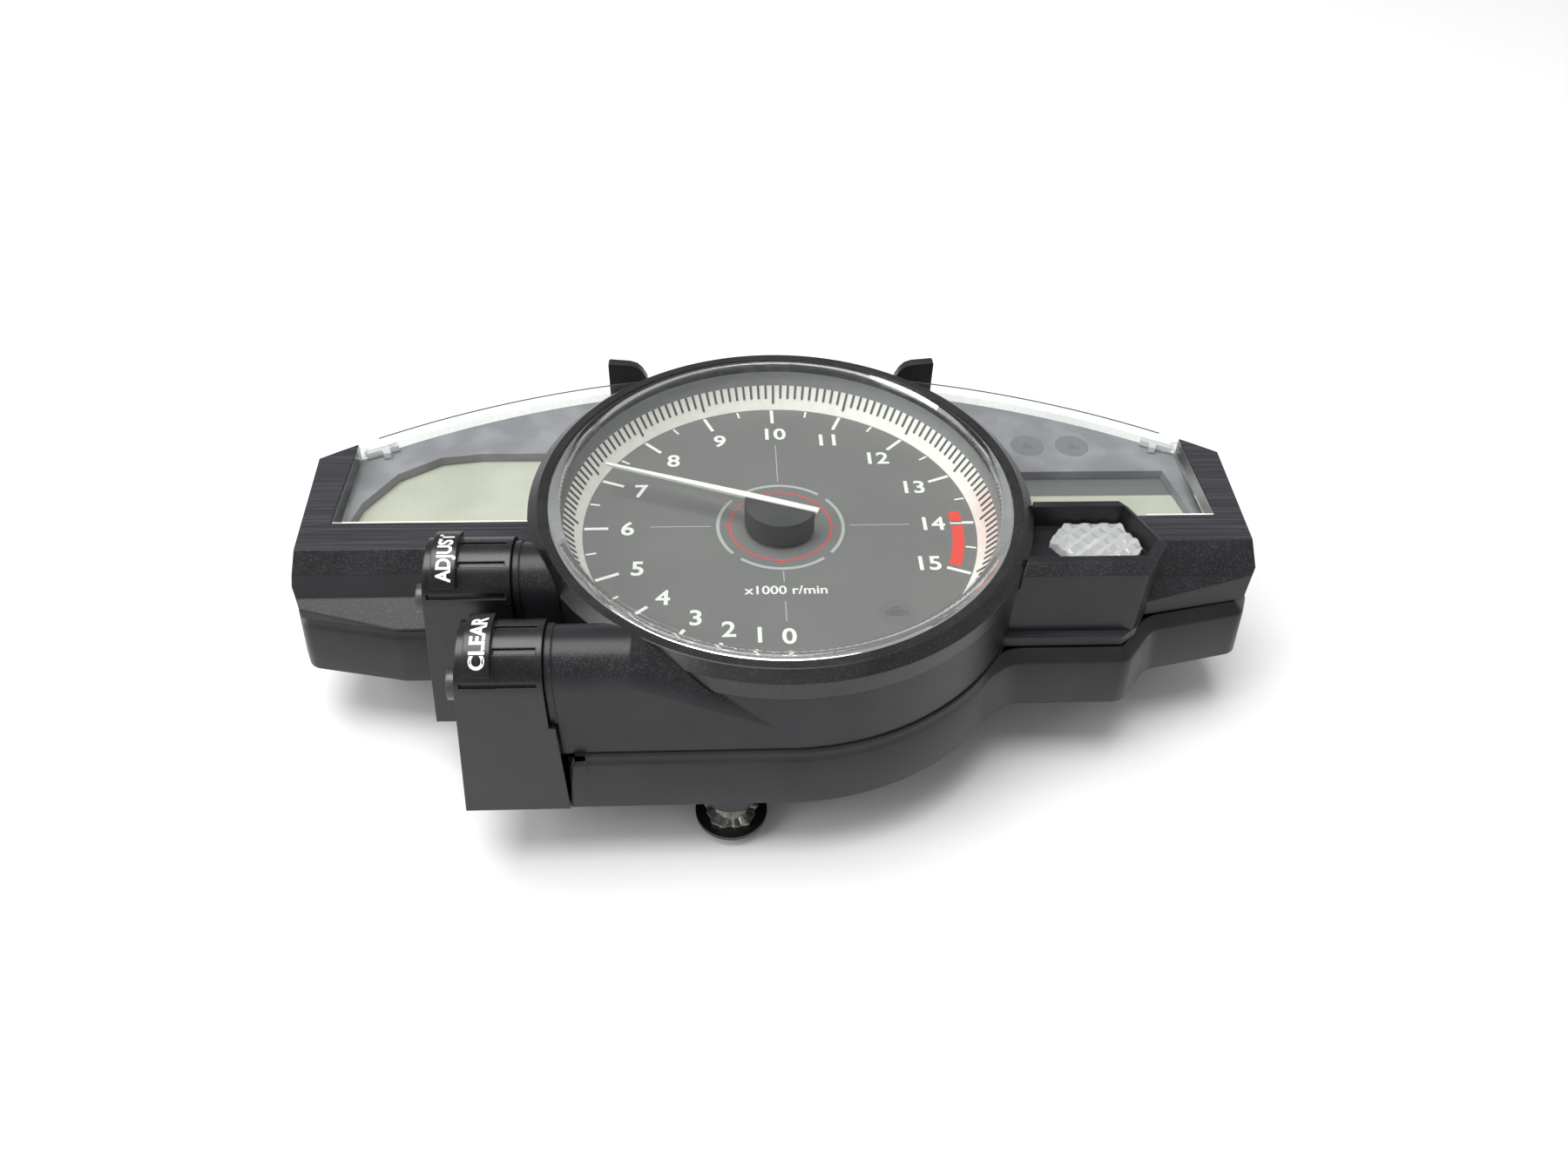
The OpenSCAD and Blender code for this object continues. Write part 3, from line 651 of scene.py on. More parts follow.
@dataclass(frozen=True)
class BoardMask(Finish):
    """Green solder mask with copper tracks under it.

    Attributes:
        name: The material's name.
    """

    name: str = "board_mask"

    def build(self) -> bpy.types.Material:
        """Makes the material."""
        tree = Tree(self.name)
        cells = tree.noise(7.0, 0.0)
        run = ((tree.along("X") * 0.55 + cells * 6.0).part() > 0.7) * (cells > 0.47)
        rise = ((tree.along("Y") * 0.55 + cells * 5.0).part() > 0.7) * (cells < 0.47)
        tracks = run + rise
        base = tree.blend(tracks, shade(18, 74, 40), shade(44, 118, 66))
        return tree.finish(
            tree.surface(
                Base_Color=base,
                Roughness=0.35 + cells * 0.15,
                Normal=tree.bumps(tracks, 0.03),
            )
        )


@dataclass(frozen=True)
class Windings(Finish):
    """Enamelled copper wire wound in turns along X, with painted shade between the turns and
    painted highlights on their crowns.

    Attributes:
        name: The material's name.
        pitch_mm: The distance from turn to turn.
    """

    name: str = "windings"
    pitch_mm: float = 0.28

    def build(self) -> bpy.types.Material:
        """Makes the material."""
        tree = Tree(self.name)
        # Painted shade and highlight: the copper is darker between turns and lighter on each turn's
        # crown.
        turns = (tree.along("X") * (math.tau / self.pitch_mm)).wave() * 0.5 + 0.5
        return tree.finish(
            tree.surface(
                Base_Color=tree.blend(turns, shade(92, 40, 16), shade(196, 104, 52)),
                Metallic=0.8,
                Roughness=0.3 + turns * 0.1,
                Normal=tree.bumps(turns, 0.1),
            )
        )


@dataclass(frozen=True)
class BladeFinish(Finish):
    """Clear pointer blade whose upper edge is white.

    Attributes:
        name: The material's name.
        stripe_z: Height where the white edge starts.
    """

    name: str = "blade_finish"
    stripe_z: float = DIAL_Z + 6.75

    def build(self) -> bpy.types.Material:
        """Makes the material."""
        tree = Tree(self.name)
        stripe = tree.along("Z").step(self.stripe_z - 0.1, self.stripe_z + 0.1)
        cover = tree.noise(1.2, 2.0)
        body = tree.surface(
            Base_Color=tree.blend(cover, shade(246, 246, 243), shade(234, 234, 230)),
            Roughness=0.28 + cover * 0.1,
        )
        clear = tree.node(
            "ShaderNodeBsdfTransparent", None, {"Color": (0.9, 0.91, 0.91, 1.0)}
        )
        return tree.finish(
            tree.node(
                "ShaderNodeMixShader", None, {0: stripe * 0.9 + 0.1, 1: clear, 2: body}
            )
        )


@dataclass(frozen=True)
class FloorPaper(Finish):
    """Pale matt floor.

    Attributes:
        name: The material's name.
    """

    name: str = "floor_paper"

    def build(self) -> bpy.types.Material:
        """Makes the material."""
        tree = Tree(self.name)
        cloud = tree.noise(120.0, 2.0)
        return tree.finish(
            tree.surface(
                Base_Color=tree.blend(cloud, (0.86, 0.86, 0.865), (0.845, 0.847, 0.85)),
                Roughness=0.6 + cloud * 0.1,
                Specular_IOR_Level=0.2,
            )
        )


class Works(Enum):
    """Finishes of the standard parts inside the case and behind it."""

    CASE = Moulded("case_plastic", shade(20, 20, 22), 0.36, 0.3, 0.008, 0.6)
    PLAIN_BLACK = Moulded("plain_black", shade(26, 26, 28), 0.5, 0.4, 0.008, 0.2)
    WHITE = Moulded("white_plastic", shade(226, 226, 220), 0.5, 0.5, 0.006, 0.2)
    GUIDE = Moulded("light_guide", shade(214, 218, 214), 0.2, 0.8, 0.004, 0.2, 0, 0.4)
    GEARS = Moulded("gear_acetal", shade(224, 220, 204), 0.4, 0.3, 0.003, 0.06)
    CHIPS = Moulded("chip_resin", shade(38, 38, 41), 0.55, 0.15, 0.006, 0.12)
    LED = Moulded("led_resin", shade(240, 232, 190), 0.3, 0.4, 0.003, 0.15, 0, 0.3)
    MAGNET = Moulded("magnet_ferrite", shade(58, 58, 64), 0.5, 0.2, 0.01, 0.1)
    RUBBER = Moulded("seal_rubber", shade(20, 20, 21), 0.75, 0.2, 0.012, 0.2)
    PLUG_SEAL = Moulded("plug_seal", shade(142, 52, 38), 0.6, 0.3, 0.01, 0.2)
    SILICONE = Moulded("silicone", shade(220, 176, 168), 0.55, 0.3, 0.006, 0.1)
    TIP = Moulded("switch_tip", shade(208, 202, 184), 0.45, 0.3, 0.004, 0.15)
    STEEL = Metal("zinc_plate", shade(206, 205, 200), shade(168, 160, 140), 0.26)
    PLAIN_STEEL = Metal("plain_steel", shade(176, 178, 182), shade(138, 138, 140), 0.32)
    CONTACTS = Metal("contact_plate", shade(226, 192, 116), shade(182, 146, 80), 0.24)
    BOARD = BoardMask()
    COIL = Windings()


def at(x: float, y: float, z: float) -> Vector:
    """Returns a point given from the dial's axis in millimetres as metres in the frame."""
    return Vector((x * MM, (y + DIAL_Y) * MM, z * MM))


def polar(radius: float, degrees: float, z: float) -> Vector:
    """Returns a point at a radius and a direction from the dial's axis."""
    turn = math.radians(degrees)
    return at(radius * math.cos(turn), radius * math.sin(turn), z)


def up(rise: float) -> Vector:
    """Returns a rise in millimetres as a vector in metres."""
    return Vector((0, 0, rise * MM))


def rectangle(x0: float, x1: float, y0: float, y1: float, z: float) -> list[Vector]:
    """Returns the corners of a level rectangle, counter-clockwise."""
    return [at(x, y, z) for x, y in ((x0, y0), (x1, y0), (x1, y1), (x0, y1))]


def circle(x: float, y: float, radius: float, z: float) -> list[Vector]:
    """Returns the points of a level circle, counter-clockwise."""
    turns = [math.tau * k / 36 for k in range(36)]
    return [at(x + radius * math.cos(t), y + radius * math.sin(t), z) for t in turns]


@dataclass
class Piece:
    """A mesh being gathered, which then joins the frame.

    Attributes:
        name: The piece's name.
        finish: Its finish.
        slot: The material slot that it belongs to; it is not used.
        body: The body that it rides on.
        points: Its points so far.
        faces: Its faces so far, as numbers into its points.
    """

    name: str
    finish: Finish
    slot: str
    body: str = HOUSING
    points: list[Vector] = field(default_factory=list)
    faces: list[tuple[int, ...]] = field(default_factory=list)

    def add(self, points: Iterable[Vector], faces: Iterable[Sequence[int]]) -> None:
        """Adds points, and faces that count from the first of them.

        Args:
            points: The points to add.
            faces: The faces, as numbers into those points.
        """
        first = len(self.points)
        self.points.extend(points)
        self.faces.extend(tuple(first + i for i in face) for face in faces)

    def prism(self, ring: Sequence[Vector], rise: Vector) -> None:
        """Adds a closed prism.

        Args:
            ring: Its foot, counter-clockwise seen from the tip of rise.
            rise: From its foot to its top.
        """
        n = len(ring)
        sides = [(i, (i + 1) % n, n + (i + 1) % n, n + i) for i in range(n)]
        ends = [tuple(reversed(range(n))), tuple(range(n, 2 * n))]
        self.add([*ring, *(p + rise for p in ring)], sides + ends)

    def arc_bar(
        self, inner: float, outer: float, start: float, end: float, z: float, rise: float
    ) -> None:
        """Adds a closed bar along an arc about the dial's axis.

        Args:
            inner: Its inner radius.
            outer: Its outer radius.
            start: The direction that it starts from, in degrees.
            end: The direction that it ends at, in degrees.
            z: The height of its foot.
            rise: Its thickness.
        """
        steps = max(2, round(abs(end - start) / 3))
        turns = [start + (end - start) * i / steps for i in range(steps + 1)]
        whole = abs(end - start) >= 360
        for low, high in zip(turns[:-1], turns[1:]):
            ring = [polar(outer, low, z), polar(outer, high, z)]
            ring += [polar(inner, high, z), polar(inner, low, z)]
            first = len(self.points)
            self.prism(ring, up(rise))
            inside = set()
            if whole or high != turns[-1]:
                inside.add((first + 1, first + 2, first + 6, first + 5))
            if whole or low != turns[0]:
                inside.add((first + 3, first, first + 4, first + 7))
            self.faces = [f for f in self.faces if f not in inside]

    def lathe(self, profile: Sequence[tuple[float, float]], segments: int = 180) -> None:
        """Adds a solid turned about the dial's axis.

        Args:
            profile: Closed outline as radius and height, counter-clockwise.
            segments: How many steps it is turned in.
        """
        n = len(profile)
        points = [
            polar(r, 360 * k / segments, z) for k in range(segments) for r, z in profile
        ]
        faces = []
        for k in range(segments):
            here, there = k * n, ((k + 1) % segments) * n
            for i in range(n):
                j = (i + 1) % n
                if profile[i][0] < 1e-6 and profile[j][0] < 1e-6:
                    continue
                faces.append((here + i, there + i, there + j, here + j))
        self.add(points, faces)

    def text(
        self,
        words: str,
        height: float,
        place: Callable[[float, float], Vector],
        bold: float,
    ) -> None:
        """Adds lettering as thin faces.

        Args:
            words: What it says.
            height: The height of its digits and capitals.
            place: Gives the point for a place along and above the middle of its base line.
            bold: How far its strokes are thickened.
        """
        curve = bpy.data.curves.new(self.name + "_words", "FONT")
        curve.body = words
        curve.size = height / CAPITAL
        curve.offset = bold
        curve.align_x = "CENTER"
        curve.resolution_u = 4
        holder = bpy.data.objects.new(self.name + "_words", curve)
        bpy.context.scene.collection.objects.link(holder)
        mesh = bpy.data.meshes.new_from_object(holder)
        self.add(
            [place(v.co.x, v.co.y) for v in mesh.vertices],
            [tuple(p.vertices) for p in mesh.polygons],
        )
        bpy.data.objects.remove(holder)
        bpy.data.curves.remove(curve)
        bpy.data.meshes.remove(mesh)

    def build(self, smooth: bool = False) -> bpy.types.Object:
        """Makes the object and joins it to its body.

        Args:
            smooth: Whether its faces blend into each other below 35 degrees.

        Returns:
            The object.
        """
        mesh = bpy.data.meshes.new(self.name)
        mesh.from_pydata([tuple(p) for p in self.points], [], self.faces)
        work = bmesh.new()
        work.from_mesh(mesh)
        bmesh.ops.remove_doubles(work, verts=work.verts, dist=1e-7)
        bmesh.ops.dissolve_degenerate(work, edges=work.edges, dist=1e-8)
        work.to_mesh(mesh)
        work.free()
        if smooth:
            mesh.shade_smooth()
            mesh.set_sharp_from_angle(angle=math.radians(35))
        made = bpy.data.objects.new(self.name, mesh)
        bpy.context.scene.collection.objects.link(made)
        mesh.materials.append(self.finish.material())
        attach(made, self.body)
        LOG.info("built %s", self.name)
        return made


def dress(finish: Finish, *names: str) -> None:
    """Gives CAD nodes a finish.

    Args:
        finish: The finish.
        names: The nodes that get it.
    """
    for name in names:
        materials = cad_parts[name].data.materials
        materials.clear()
        materials.append(finish.material())
        LOG.info("dressed %s", name)


@dataclass
class TachDial:
    """The tachometer's printed face.

    Attributes:
        tick_r: Outer radius of the tick marks.
        long_tick: Length of a whole thousand's mark.
        short_tick: Length of a half thousand's mark.
        digit_r: Radius of the numerals' middles.
        digit_h: Height of the numerals.
        lift: Thickness of the ink.
        low_marks: The directions of the readings from 0 to 5, in degrees.
        high_step: The degrees from one reading to the next above 5.
        lamp_r: Radius of the warning lamp's spot.
    """

    tick_r: float = 46.0
    long_tick: float = 5.6
    short_tick: float = 2.4
    digit_r: float = 35.9
    digit_h: float = 4.7
    lift: float = 0.04
    low_marks: tuple[float, ...] = (270.6, 260.4, 249.4, 236.6, 221.1, 203.1)
    high_step: float = 22.5
    lamp_r: float = 4.0

    def direction(self, thousands: float) -> float:
        """Returns the direction of a reading; the marks are closer up to five thousand.

        Args:
            thousands: The reading, in thousands.

        Returns:
            Its direction, in degrees.
        """
        last = len(self.low_marks) - 1
        if thousands >= last:
            return self.low_marks[last] - (thousands - last) * self.high_step
        low = int(thousands)
        share = thousands - low
        return self.low_marks[low] * (1 - share) + self.low_marks[low + 1] * share

    def _bar(self, piece: Piece, thousands: float, length: float, width: float) -> None:
        """Adds one tick mark.

        Args:
            piece: The mesh that it joins.
            thousands: Its reading.
            length: Its length inwards.
            width: Its width.
        """
        out = Vector(polar(1, self.direction(thousands), 0) - at(0, 0, 0)).normalized()
        side = Vector((-out.y, out.x, 0)) * width / 2 * MM
        tip = at(0, 0, DIAL_Z) + out * self.tick_r * MM
        foot = tip - out * length * MM
        ring = [foot - side, tip - side, tip + side, foot + side]
        piece.prism(ring, up(self.lift))

    def _label(
        self, piece: Piece, words: str, middle: tuple[float, float], height: float, bold: float
    ) -> None:
        """Adds level lettering.

        Args:
            piece: The mesh that it joins.
            words: What it says.
            middle: Its middle, from the dial's axis.
            height: The height of its capitals.
            bold: How far its strokes are thickened.
        """
        x, y = middle
        piece.text(
            words,
            height,
            lambda u, v: at(x + u * 1.02, y + v - height / 2, DIAL_Z + self.lift),
            bold,
        )

    def build(self) -> None:
        """Prints the dial."""
        dress(DialFilm(), "dial_plate")
        white = Piece("dial_marks", Ink("dial_white", shade(238, 238, 236)), "dial_face")
        for half in range(31):
            if half % 2 == 0:
                self._bar(white, half / 2, self.long_tick, 0.85)
            else:
                self._bar(white, half / 2, self.short_tick, 0.5)
        for number in range(16):
            spot = polar(self.digit_r, self.direction(number), 0)
            middle = (spot.x / MM, spot.y / MM - DIAL_Y)
            self._label(white, str(number), middle, self.digit_h, 0.13)
        self._label(white, "x1000 r/min", (0.4, -21.7), 2.7, 0.06)
        white.build()
        grey = Piece("dial_rings", Ink("dial_grey", shade(176, 180, 178)), "dial_face")
        for quarter in range(4):
            start = 45 + 5 + quarter * 90
            grey.arc_bar(14.4, 15.2, start, start + 80, DIAL_Z, self.lift)
        for line in (
            (-30.6, -16.4, -0.12, 0.12),
            (16.4, 30.6, -0.12, 0.12),
            (-0.12, 0.12, 16.4, 31.0),
            (-0.12, 0.12, -19.2, -15.6),
            (-0.12, 0.12, -31.6, -25.4),
        ):
            grey.prism(rectangle(*line, DIAL_Z), up(self.lift))
        grey.build()
        red = Piece("dial_red", Ink("dial_red", shade(226, 74, 62)), "dial_face")
        red.arc_bar(40.5, 43.3, 6.2, 0.8, DIAL_Z, self.lift)
        red.arc_bar(40.5, 43.3, -0.8, -20.0, DIAL_Z, self.lift)
        red.arc_bar(11.85, 12.2, 0, 360, DIAL_Z, self.lift)
        for turn in range(0, 360, 90):
            red.arc_bar(12.2, 13.6, turn - 0.6, turn + 0.6, DIAL_Z, self.lift)
        red.build()
        self._lamp()

    def _lamp(self) -> None:
        """Prints the warning lamp's spot and its plain sign."""
        centre = polar(38.1, 309.6, DIAL_Z)
        x, y = centre.x / MM, centre.y / MM - DIAL_Y
        lamp = Piece("dial_lamp_spot", Ink("dial_lamp", shade(112, 111, 112)), "dial_face")
        lamp.prism(circle(x, y, self.lamp_r, DIAL_Z), up(self.lift * 0.5))
        lamp.build()
        sign = Piece("dial_lamp_sign", Ink("dial_lamp_line", shade(98, 97, 98)), "dial_face")
        for dx, dy, w, h in (
            (0, 0, 3.4, 2.0),
            (-2.2, 0, 0.7, 1.2),
            (0, 1.5, 1.8, 0.5),
            (2.3, 0, 0.7, 1.5),
        ):
            left, front = x + dx - w / 2, y + dy - h / 2
            bar = rectangle(left, left + w, front, front + h, DIAL_Z + self.lift)
            sign.prism(bar, up(self.lift * 0.5))
        sign.build()


@dataclass
class TickRing:
    """Raised ticks on the ivory cone round the dial, whose dark grey is painted shade of ticks
    moulded into the ivory.

    Attributes:
        foot_r: Radius of the cone's foot.
        head_r: Radius of the cone's top edge.
        head_z: Height of the cone's top edge.
        width: Width of a tick.
        proud: How far a tick stands out.
        step_deg: The degrees from tick to tick.
        long_reach: The share of the slope where every tenth tick ends.
        short_reach: The share of the slope where the other ticks end.
    """

    foot_r: float = 46.3
    head_r: float = 50.3
    head_z: float = 51.0
    width: float = 0.55
    proud: float = 0.22
    step_deg: float = 2.25
    long_reach: float = 0.27
    short_reach: float = 0.47

    def _tick(self, piece: Piece, degrees: float, reach: float) -> None:
        """Adds one tick that lies down the cone.

        Args:
            piece: The mesh that it joins.
            degrees: Its direction.
            reach: The share of the slope where it ends.
        """
        low_r = self.foot_r + (self.head_r - self.foot_r) * reach
        low_z = DIAL_Z + (self.head_z - DIAL_Z) * reach
        low, high = polar(low_r, degrees, low_z), polar(self.head_r, degrees, self.head_z)
        slope = (high - low).normalized()
        side = Vector((0, 0, 1)).cross(slope).normalized() * self.width / 2 * MM
        rise = slope.cross(side).normalized() * self.proud * MM
        if rise.z < 0:
            rise.negate()
        sunk = rise * -0.4
        ring = [low - side + sunk, high - side + sunk, high + side + sunk, low + side + sunk]
        if (ring[1] - ring[0]).cross(ring[2] - ring[1]).dot(rise) < 0:
            ring.reverse()
        piece.prism(ring, rise * 1.4)

    def build(self) -> None:
        """Dresses the ring and adds its ticks."""
        dress(RingPlastic(), "tick_ring")
        # Painted shade: the ticks are ivory plastic, and their dark grey stands for the shade along
        # them.
        dark = Ink("tick_shade_painted", shade(92, 92, 94))
        ticks = Piece("ring_ticks", dark, "tick_ring_ivory")
        for k in range(int(360 / self.step_deg)):
            degrees = 90 + k * self.step_deg
            whole = k % 10 == 0
            self._tick(ticks, degrees, self.long_reach if whole else self.short_reach)
        ticks.build()


@dataclass
class TachLens:
    """The tachometer's clear front: a shallow dome inside a thick rounded rim.

    Attributes:
        rim_in_r: Inner radius of the rim.
        rim_out_r: Outer radius of the rim.
        crown_z: Height of the dome's middle.
        fall: How far the dome falls from its middle to the rim.
        rear_z: Heights of the dome's rear in the middle and at the rim.
        rim_z: Heights where the rim starts and where it begins to bow.
        bow: How far the rim's top bows up.
    """

    rim_in_r: float = 50.4
    rim_out_r: float = 53.3
    crown_z: float = 58.2
    fall: float = 0.75
    rear_z: tuple[float, float] = (56.7, 56.1)
    rim_z: tuple[float, float] = (55.15, 55.9)
    bow: float = 1.55

    def build(self) -> None:
        """Makes the dome and the rim."""
        dome = Piece("lens_dome", ClearPlastic("lens_clear"), "clear")
        edge = self.rim_in_r
        top = [(r, self.crown_z - self.fall * (r / edge) ** 2) for r in range(0, 48, 6)]
        top.append((edge, self.crown_z - self.fall))
        dome.lathe([(0.0, self.rear_z[0]), (edge, self.rear_z[1]), *reversed(top)])
        made = dome.build(smooth=True)
        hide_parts("tach_lens")
        rim = Piece("lens_rim", ThickClear("rim_clear"), "clear")
        middle = (self.rim_in_r + self.rim_out_r) / 2
        half = (self.rim_out_r - self.rim_in_r) / 2 - 0.02
        foot, waist = self.rim_z
        bow = [
            (middle + half * math.cos(a), waist + self.bow * math.sin(a))
            for a in (math.pi * k / 12 for k in range(13))
        ]
        rim.lathe([(middle - half, foot), (middle + half, foot), *bow])
        rim.build(smooth=True)
        dress(Works.GUIDE.value, "dial_light_guide")


@dataclass
class DisplayWings:
    """The two display wings behind their clear covers.

    Attributes:
        mask_z: Height of the masks' faces.
        top_z: Height of the clear covers.
        rear_r: Radius of the rear edge's arc.
        rear_y: The middle of that arc along Y.
        rear_edge: How far inside the arc the dark edge starts and ends.
        front_edges: Each pale edge's start and end along X.
        front_y: Each pale edge's front and rear along Y.
        side_edge: Corners of the right milky edge.
        clip: Corners of the right clip.
        lamps: The middles of the warning lamps.
        lamp_r: Their radius.
    """

    mask_z: float = 44.0
    top_z: float = 48.0
    rear_r: float = 193.8
    rear_y: float = -133.8
    rear_edge: tuple[float, float] = (0.05, 0.42)
    front_edges: Corners = ((-103.7, -58.2), (87.5, 103.7))
    front_y: tuple[float, float] = (0.15, 0.6)
    side_edge: Corners = ((103.8, 0.2), (101.5, 0.2), (101.0, 28.6), (103.3, 28.6))
    clip: Corners = (
        (101.8, 28.6),
        (102.6, 29.9),
        (97.4, 32.4),
        (95.2, 33.6),
        (94.6, 32.2),
        (96.6, 31.2),
        (96.0, 29.2),
        (97.6, 28.8),
        (98.4, 30.3),
    )
    lamps: Corners = ((65.4, 32.7), (77.0, 32.5))
    lamp_r: float = 4.35

    def _rear(self, degrees: float, inset: float, z: float) -> Vector:
        """Returns a point along the rear edge.

        Args:
            degrees: Its direction from the rear arc's middle, 90 being straight to the rear.
            inset: How far it lies inside the edge.
            z: Its height.

        Returns:
            The point.
        """
        turn = math.radians(degrees)
        radius = self.rear_r - inset
        return at(radius * math.cos(turn), self.rear_y + radius * math.sin(turn), z)

    @staticmethod
    def _mirrored(corners: Corners, side: int, z: float) -> list[Vector]:
        """Returns a ring at a height, mirrored where the side is -1.

        Args:
            corners: Its corners on the right.
            side: 1 for the right and -1 for the left.
            z: Its height.

        Returns:
            The ring.
        """
        ring = [at(side * x, y, z) for x, y in corners]
        return ring if side > 0 else ring[::-1]

    def _edges(self) -> None:
        """Adds the covers' edges: dark along the rear, pale in front and milky at the sides."""
        dark = Moulded("cover_edge_dark", shade(70, 71, 74), 0.3, 0.3, 0.003, 0.05)
        rear = Piece("cover_rear_edges", dark, "clear")
        outer, inner = self.rear_edge
        z = self.top_z - 0.1
        for side in (1, -1):
            turns = [90 - side * (30.8 - 1.4 * k) for k in range(19)]
            for low, high in zip(turns[:-1], turns[1:]):
                ring = [self._rear(low, outer, z), self._rear(high, outer, z)]
                ring += [self._rear(high, inner, z), self._rear(low, inner, z)]
                rear.prism(ring if side > 0 else ring[::-1], up(0.12))
        rear.build()
        pale = Moulded("cover_edge_pale", shade(226, 226, 216), 0.35, 0.3, 0.003, 0.05)
        front = Piece("cover_front_edges", pale, "clear")
        z, rise = self.top_z - 0.6, up(0.62)
        for start, end in self.front_edges:
            front.prism(rectangle(start, end, *self.front_y, z), rise)
        front.build()
        milky = ClearPlastic("cover_edge_milky", haze=0.8, flank=0.3)
        sides = Piece("cover_side_edges", milky, "clear")
        for side in (1, -1):
            sides.prism(self._mirrored(self.side_edge[::-1], side, z), rise)
        sides.build()

    def _clips(self) -> None:
        """Adds the clips at the covers' outer rear corners."""
        frosted = ThickClear("clip_clear", (0.9, 0.91, 0.93), 0.12, 0.45)
        clips = Piece("cover_clips", frosted, "clear")
        for side in (1, -1):
            clips.prism(self._mirrored(self.clip, side, self.mask_z + 0.4), up(1.6))
        clips.build()

    def _lamps(self) -> None:
        """Prints the warning lamps' spots and plain signs on the right mask."""
        spots = Piece("warning_spots", Ink("warning_spot", shade(127, 126, 130)), "mask_grey")
        signs = Piece("warning_signs", Ink("warning_sign", shade(116, 116, 120)), "mask_grey")
        z = self.mask_z + 0.03
        for x, y in self.lamps:
            spots.prism(circle(x, y, self.lamp_r, self.mask_z), up(0.03))
            corners = ((x - 1.6, y - 1.2), (x + 1.6, y - 1.2), (x, y + 1.7))
            signs.prism([at(*corner, z) for corner in corners], up(0.02))
        spots.build()
        signs.build()

    def build(self) -> None:
        """Dresses the wings and adds their edges, clips and lamp spots."""
        clear = ClearPlastic("wing_clear", haze=0.04, flank=0.08)
        dress(clear, "wing_lens_left", "wing_lens_right")
        panel = Moulded("mask_panel", shade(134, 132, 138), 0.45, 0.35, 0.006, 0.25)
        dress(panel, "mask_left", "mask_right")
        dress(DisplayGlass("display_left"), "lcd_left")
        # The right panel's strip beyond Y 15.3 gets painted shade of the mask's frame.
        dress(DisplayGlass("display_right", 15.3 + DIAL_Y), "lcd_right")
        dress(Works.GUIDE.value, "backlight_left", "backlight_right")
        self._edges()
        self._clips()
        self._lamps()


@dataclass
class ShiftLight:
    """The shift light's faceted lens in its hood.

    Attributes:
        outline: Its corners from the dial's axis, counter-clockwise.
        foot_z: Height of its rear.
        top_z: Height of its edge.
        facet: Depth of the facets.
        cell: Length and width of a facet's diamond.
    """

    outline: Corners = (
        (61.0, -12.2),
        (65.0, -18.9),
        (79.1, -18.9),
        (81.9, -14.7),
        (78.4, -6.5),
        (65.4, -6.5),
    )
    foot_z: float = 47.6
    top_z: float = 50.6
    facet: float = 1.5
    cell: tuple[float, float] = (4.4, 3.6)

    def _facet(self, x: float, y: float) -> Vector:
        """Returns the point of the faceted face at a place on the lens.

        Args:
            x: The place along X.
            y: The place along Y.

        Returns:
            The point.
        """
        across, along = x / self.cell[0], y / self.cell[1]
        first, second = across + along, across - along
        ridges = abs(first % 1.0 - 0.5) + abs(second % 1.0 - 0.5)
        return at(x, y, self.top_z + ridges * self.facet)

    def build(self) -> None:
        """Cuts the lens into facets and dresses the light."""
        work = bmesh.new()
        work.faces.new([work.verts.new((x, y, 0)) for x, y in self.outline])
        for sign, start in ((1, -6), (-1, 24)):
            normal = Vector((1 / self.cell[0], sign / self.cell[1], 0))
            for crease in range(start, start + 54):
                point = normal * (crease / 2) / normal.length_squared
                parts = [*work.verts, *work.edges, *work.faces]
                bmesh.ops.bisect_plane(work, geom=parts, plane_co=point, plane_no=normal)
        clear = ThickClear("shift_clear", (0.96, 0.97, 0.98), 0.03, 0.66)
        lens = Piece("shift_lens_facets", clear, "clear")
        numbers = {v: i for i, v in enumerate(work.verts)}
        lens.add(
            [self._facet(v.co.x, v.co.y) for v in work.verts],
            [[numbers[v] for v in f.verts] for f in work.faces],
        )
        for edge in (e for e in work.edges if e.is_boundary):
            loop = edge.link_loops[0]
            first, second = loop.vert.co, loop.link_loop_next.vert.co
            wall = [self._facet(first.x, first.y), self._facet(second.x, second.y)]
            wall += [at(second.x, second.y, self.foot_z), at(first.x, first.y, self.foot_z)]
            lens.add(wall, [(3, 2, 1, 0)])
        lens.add([at(x, y, self.foot_z) for x, y in self.outline], [(5, 4, 3, 2, 1, 0)])
        work.free()
        made = lens.build()
        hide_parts("shift_lens")
        silver = Metal("reflector_silver", shade(236, 237, 238), shade(220, 221, 224), 0.16)
        dress(silver, "shift_reflector")
        dress(Works.LED.value, "shift_led")


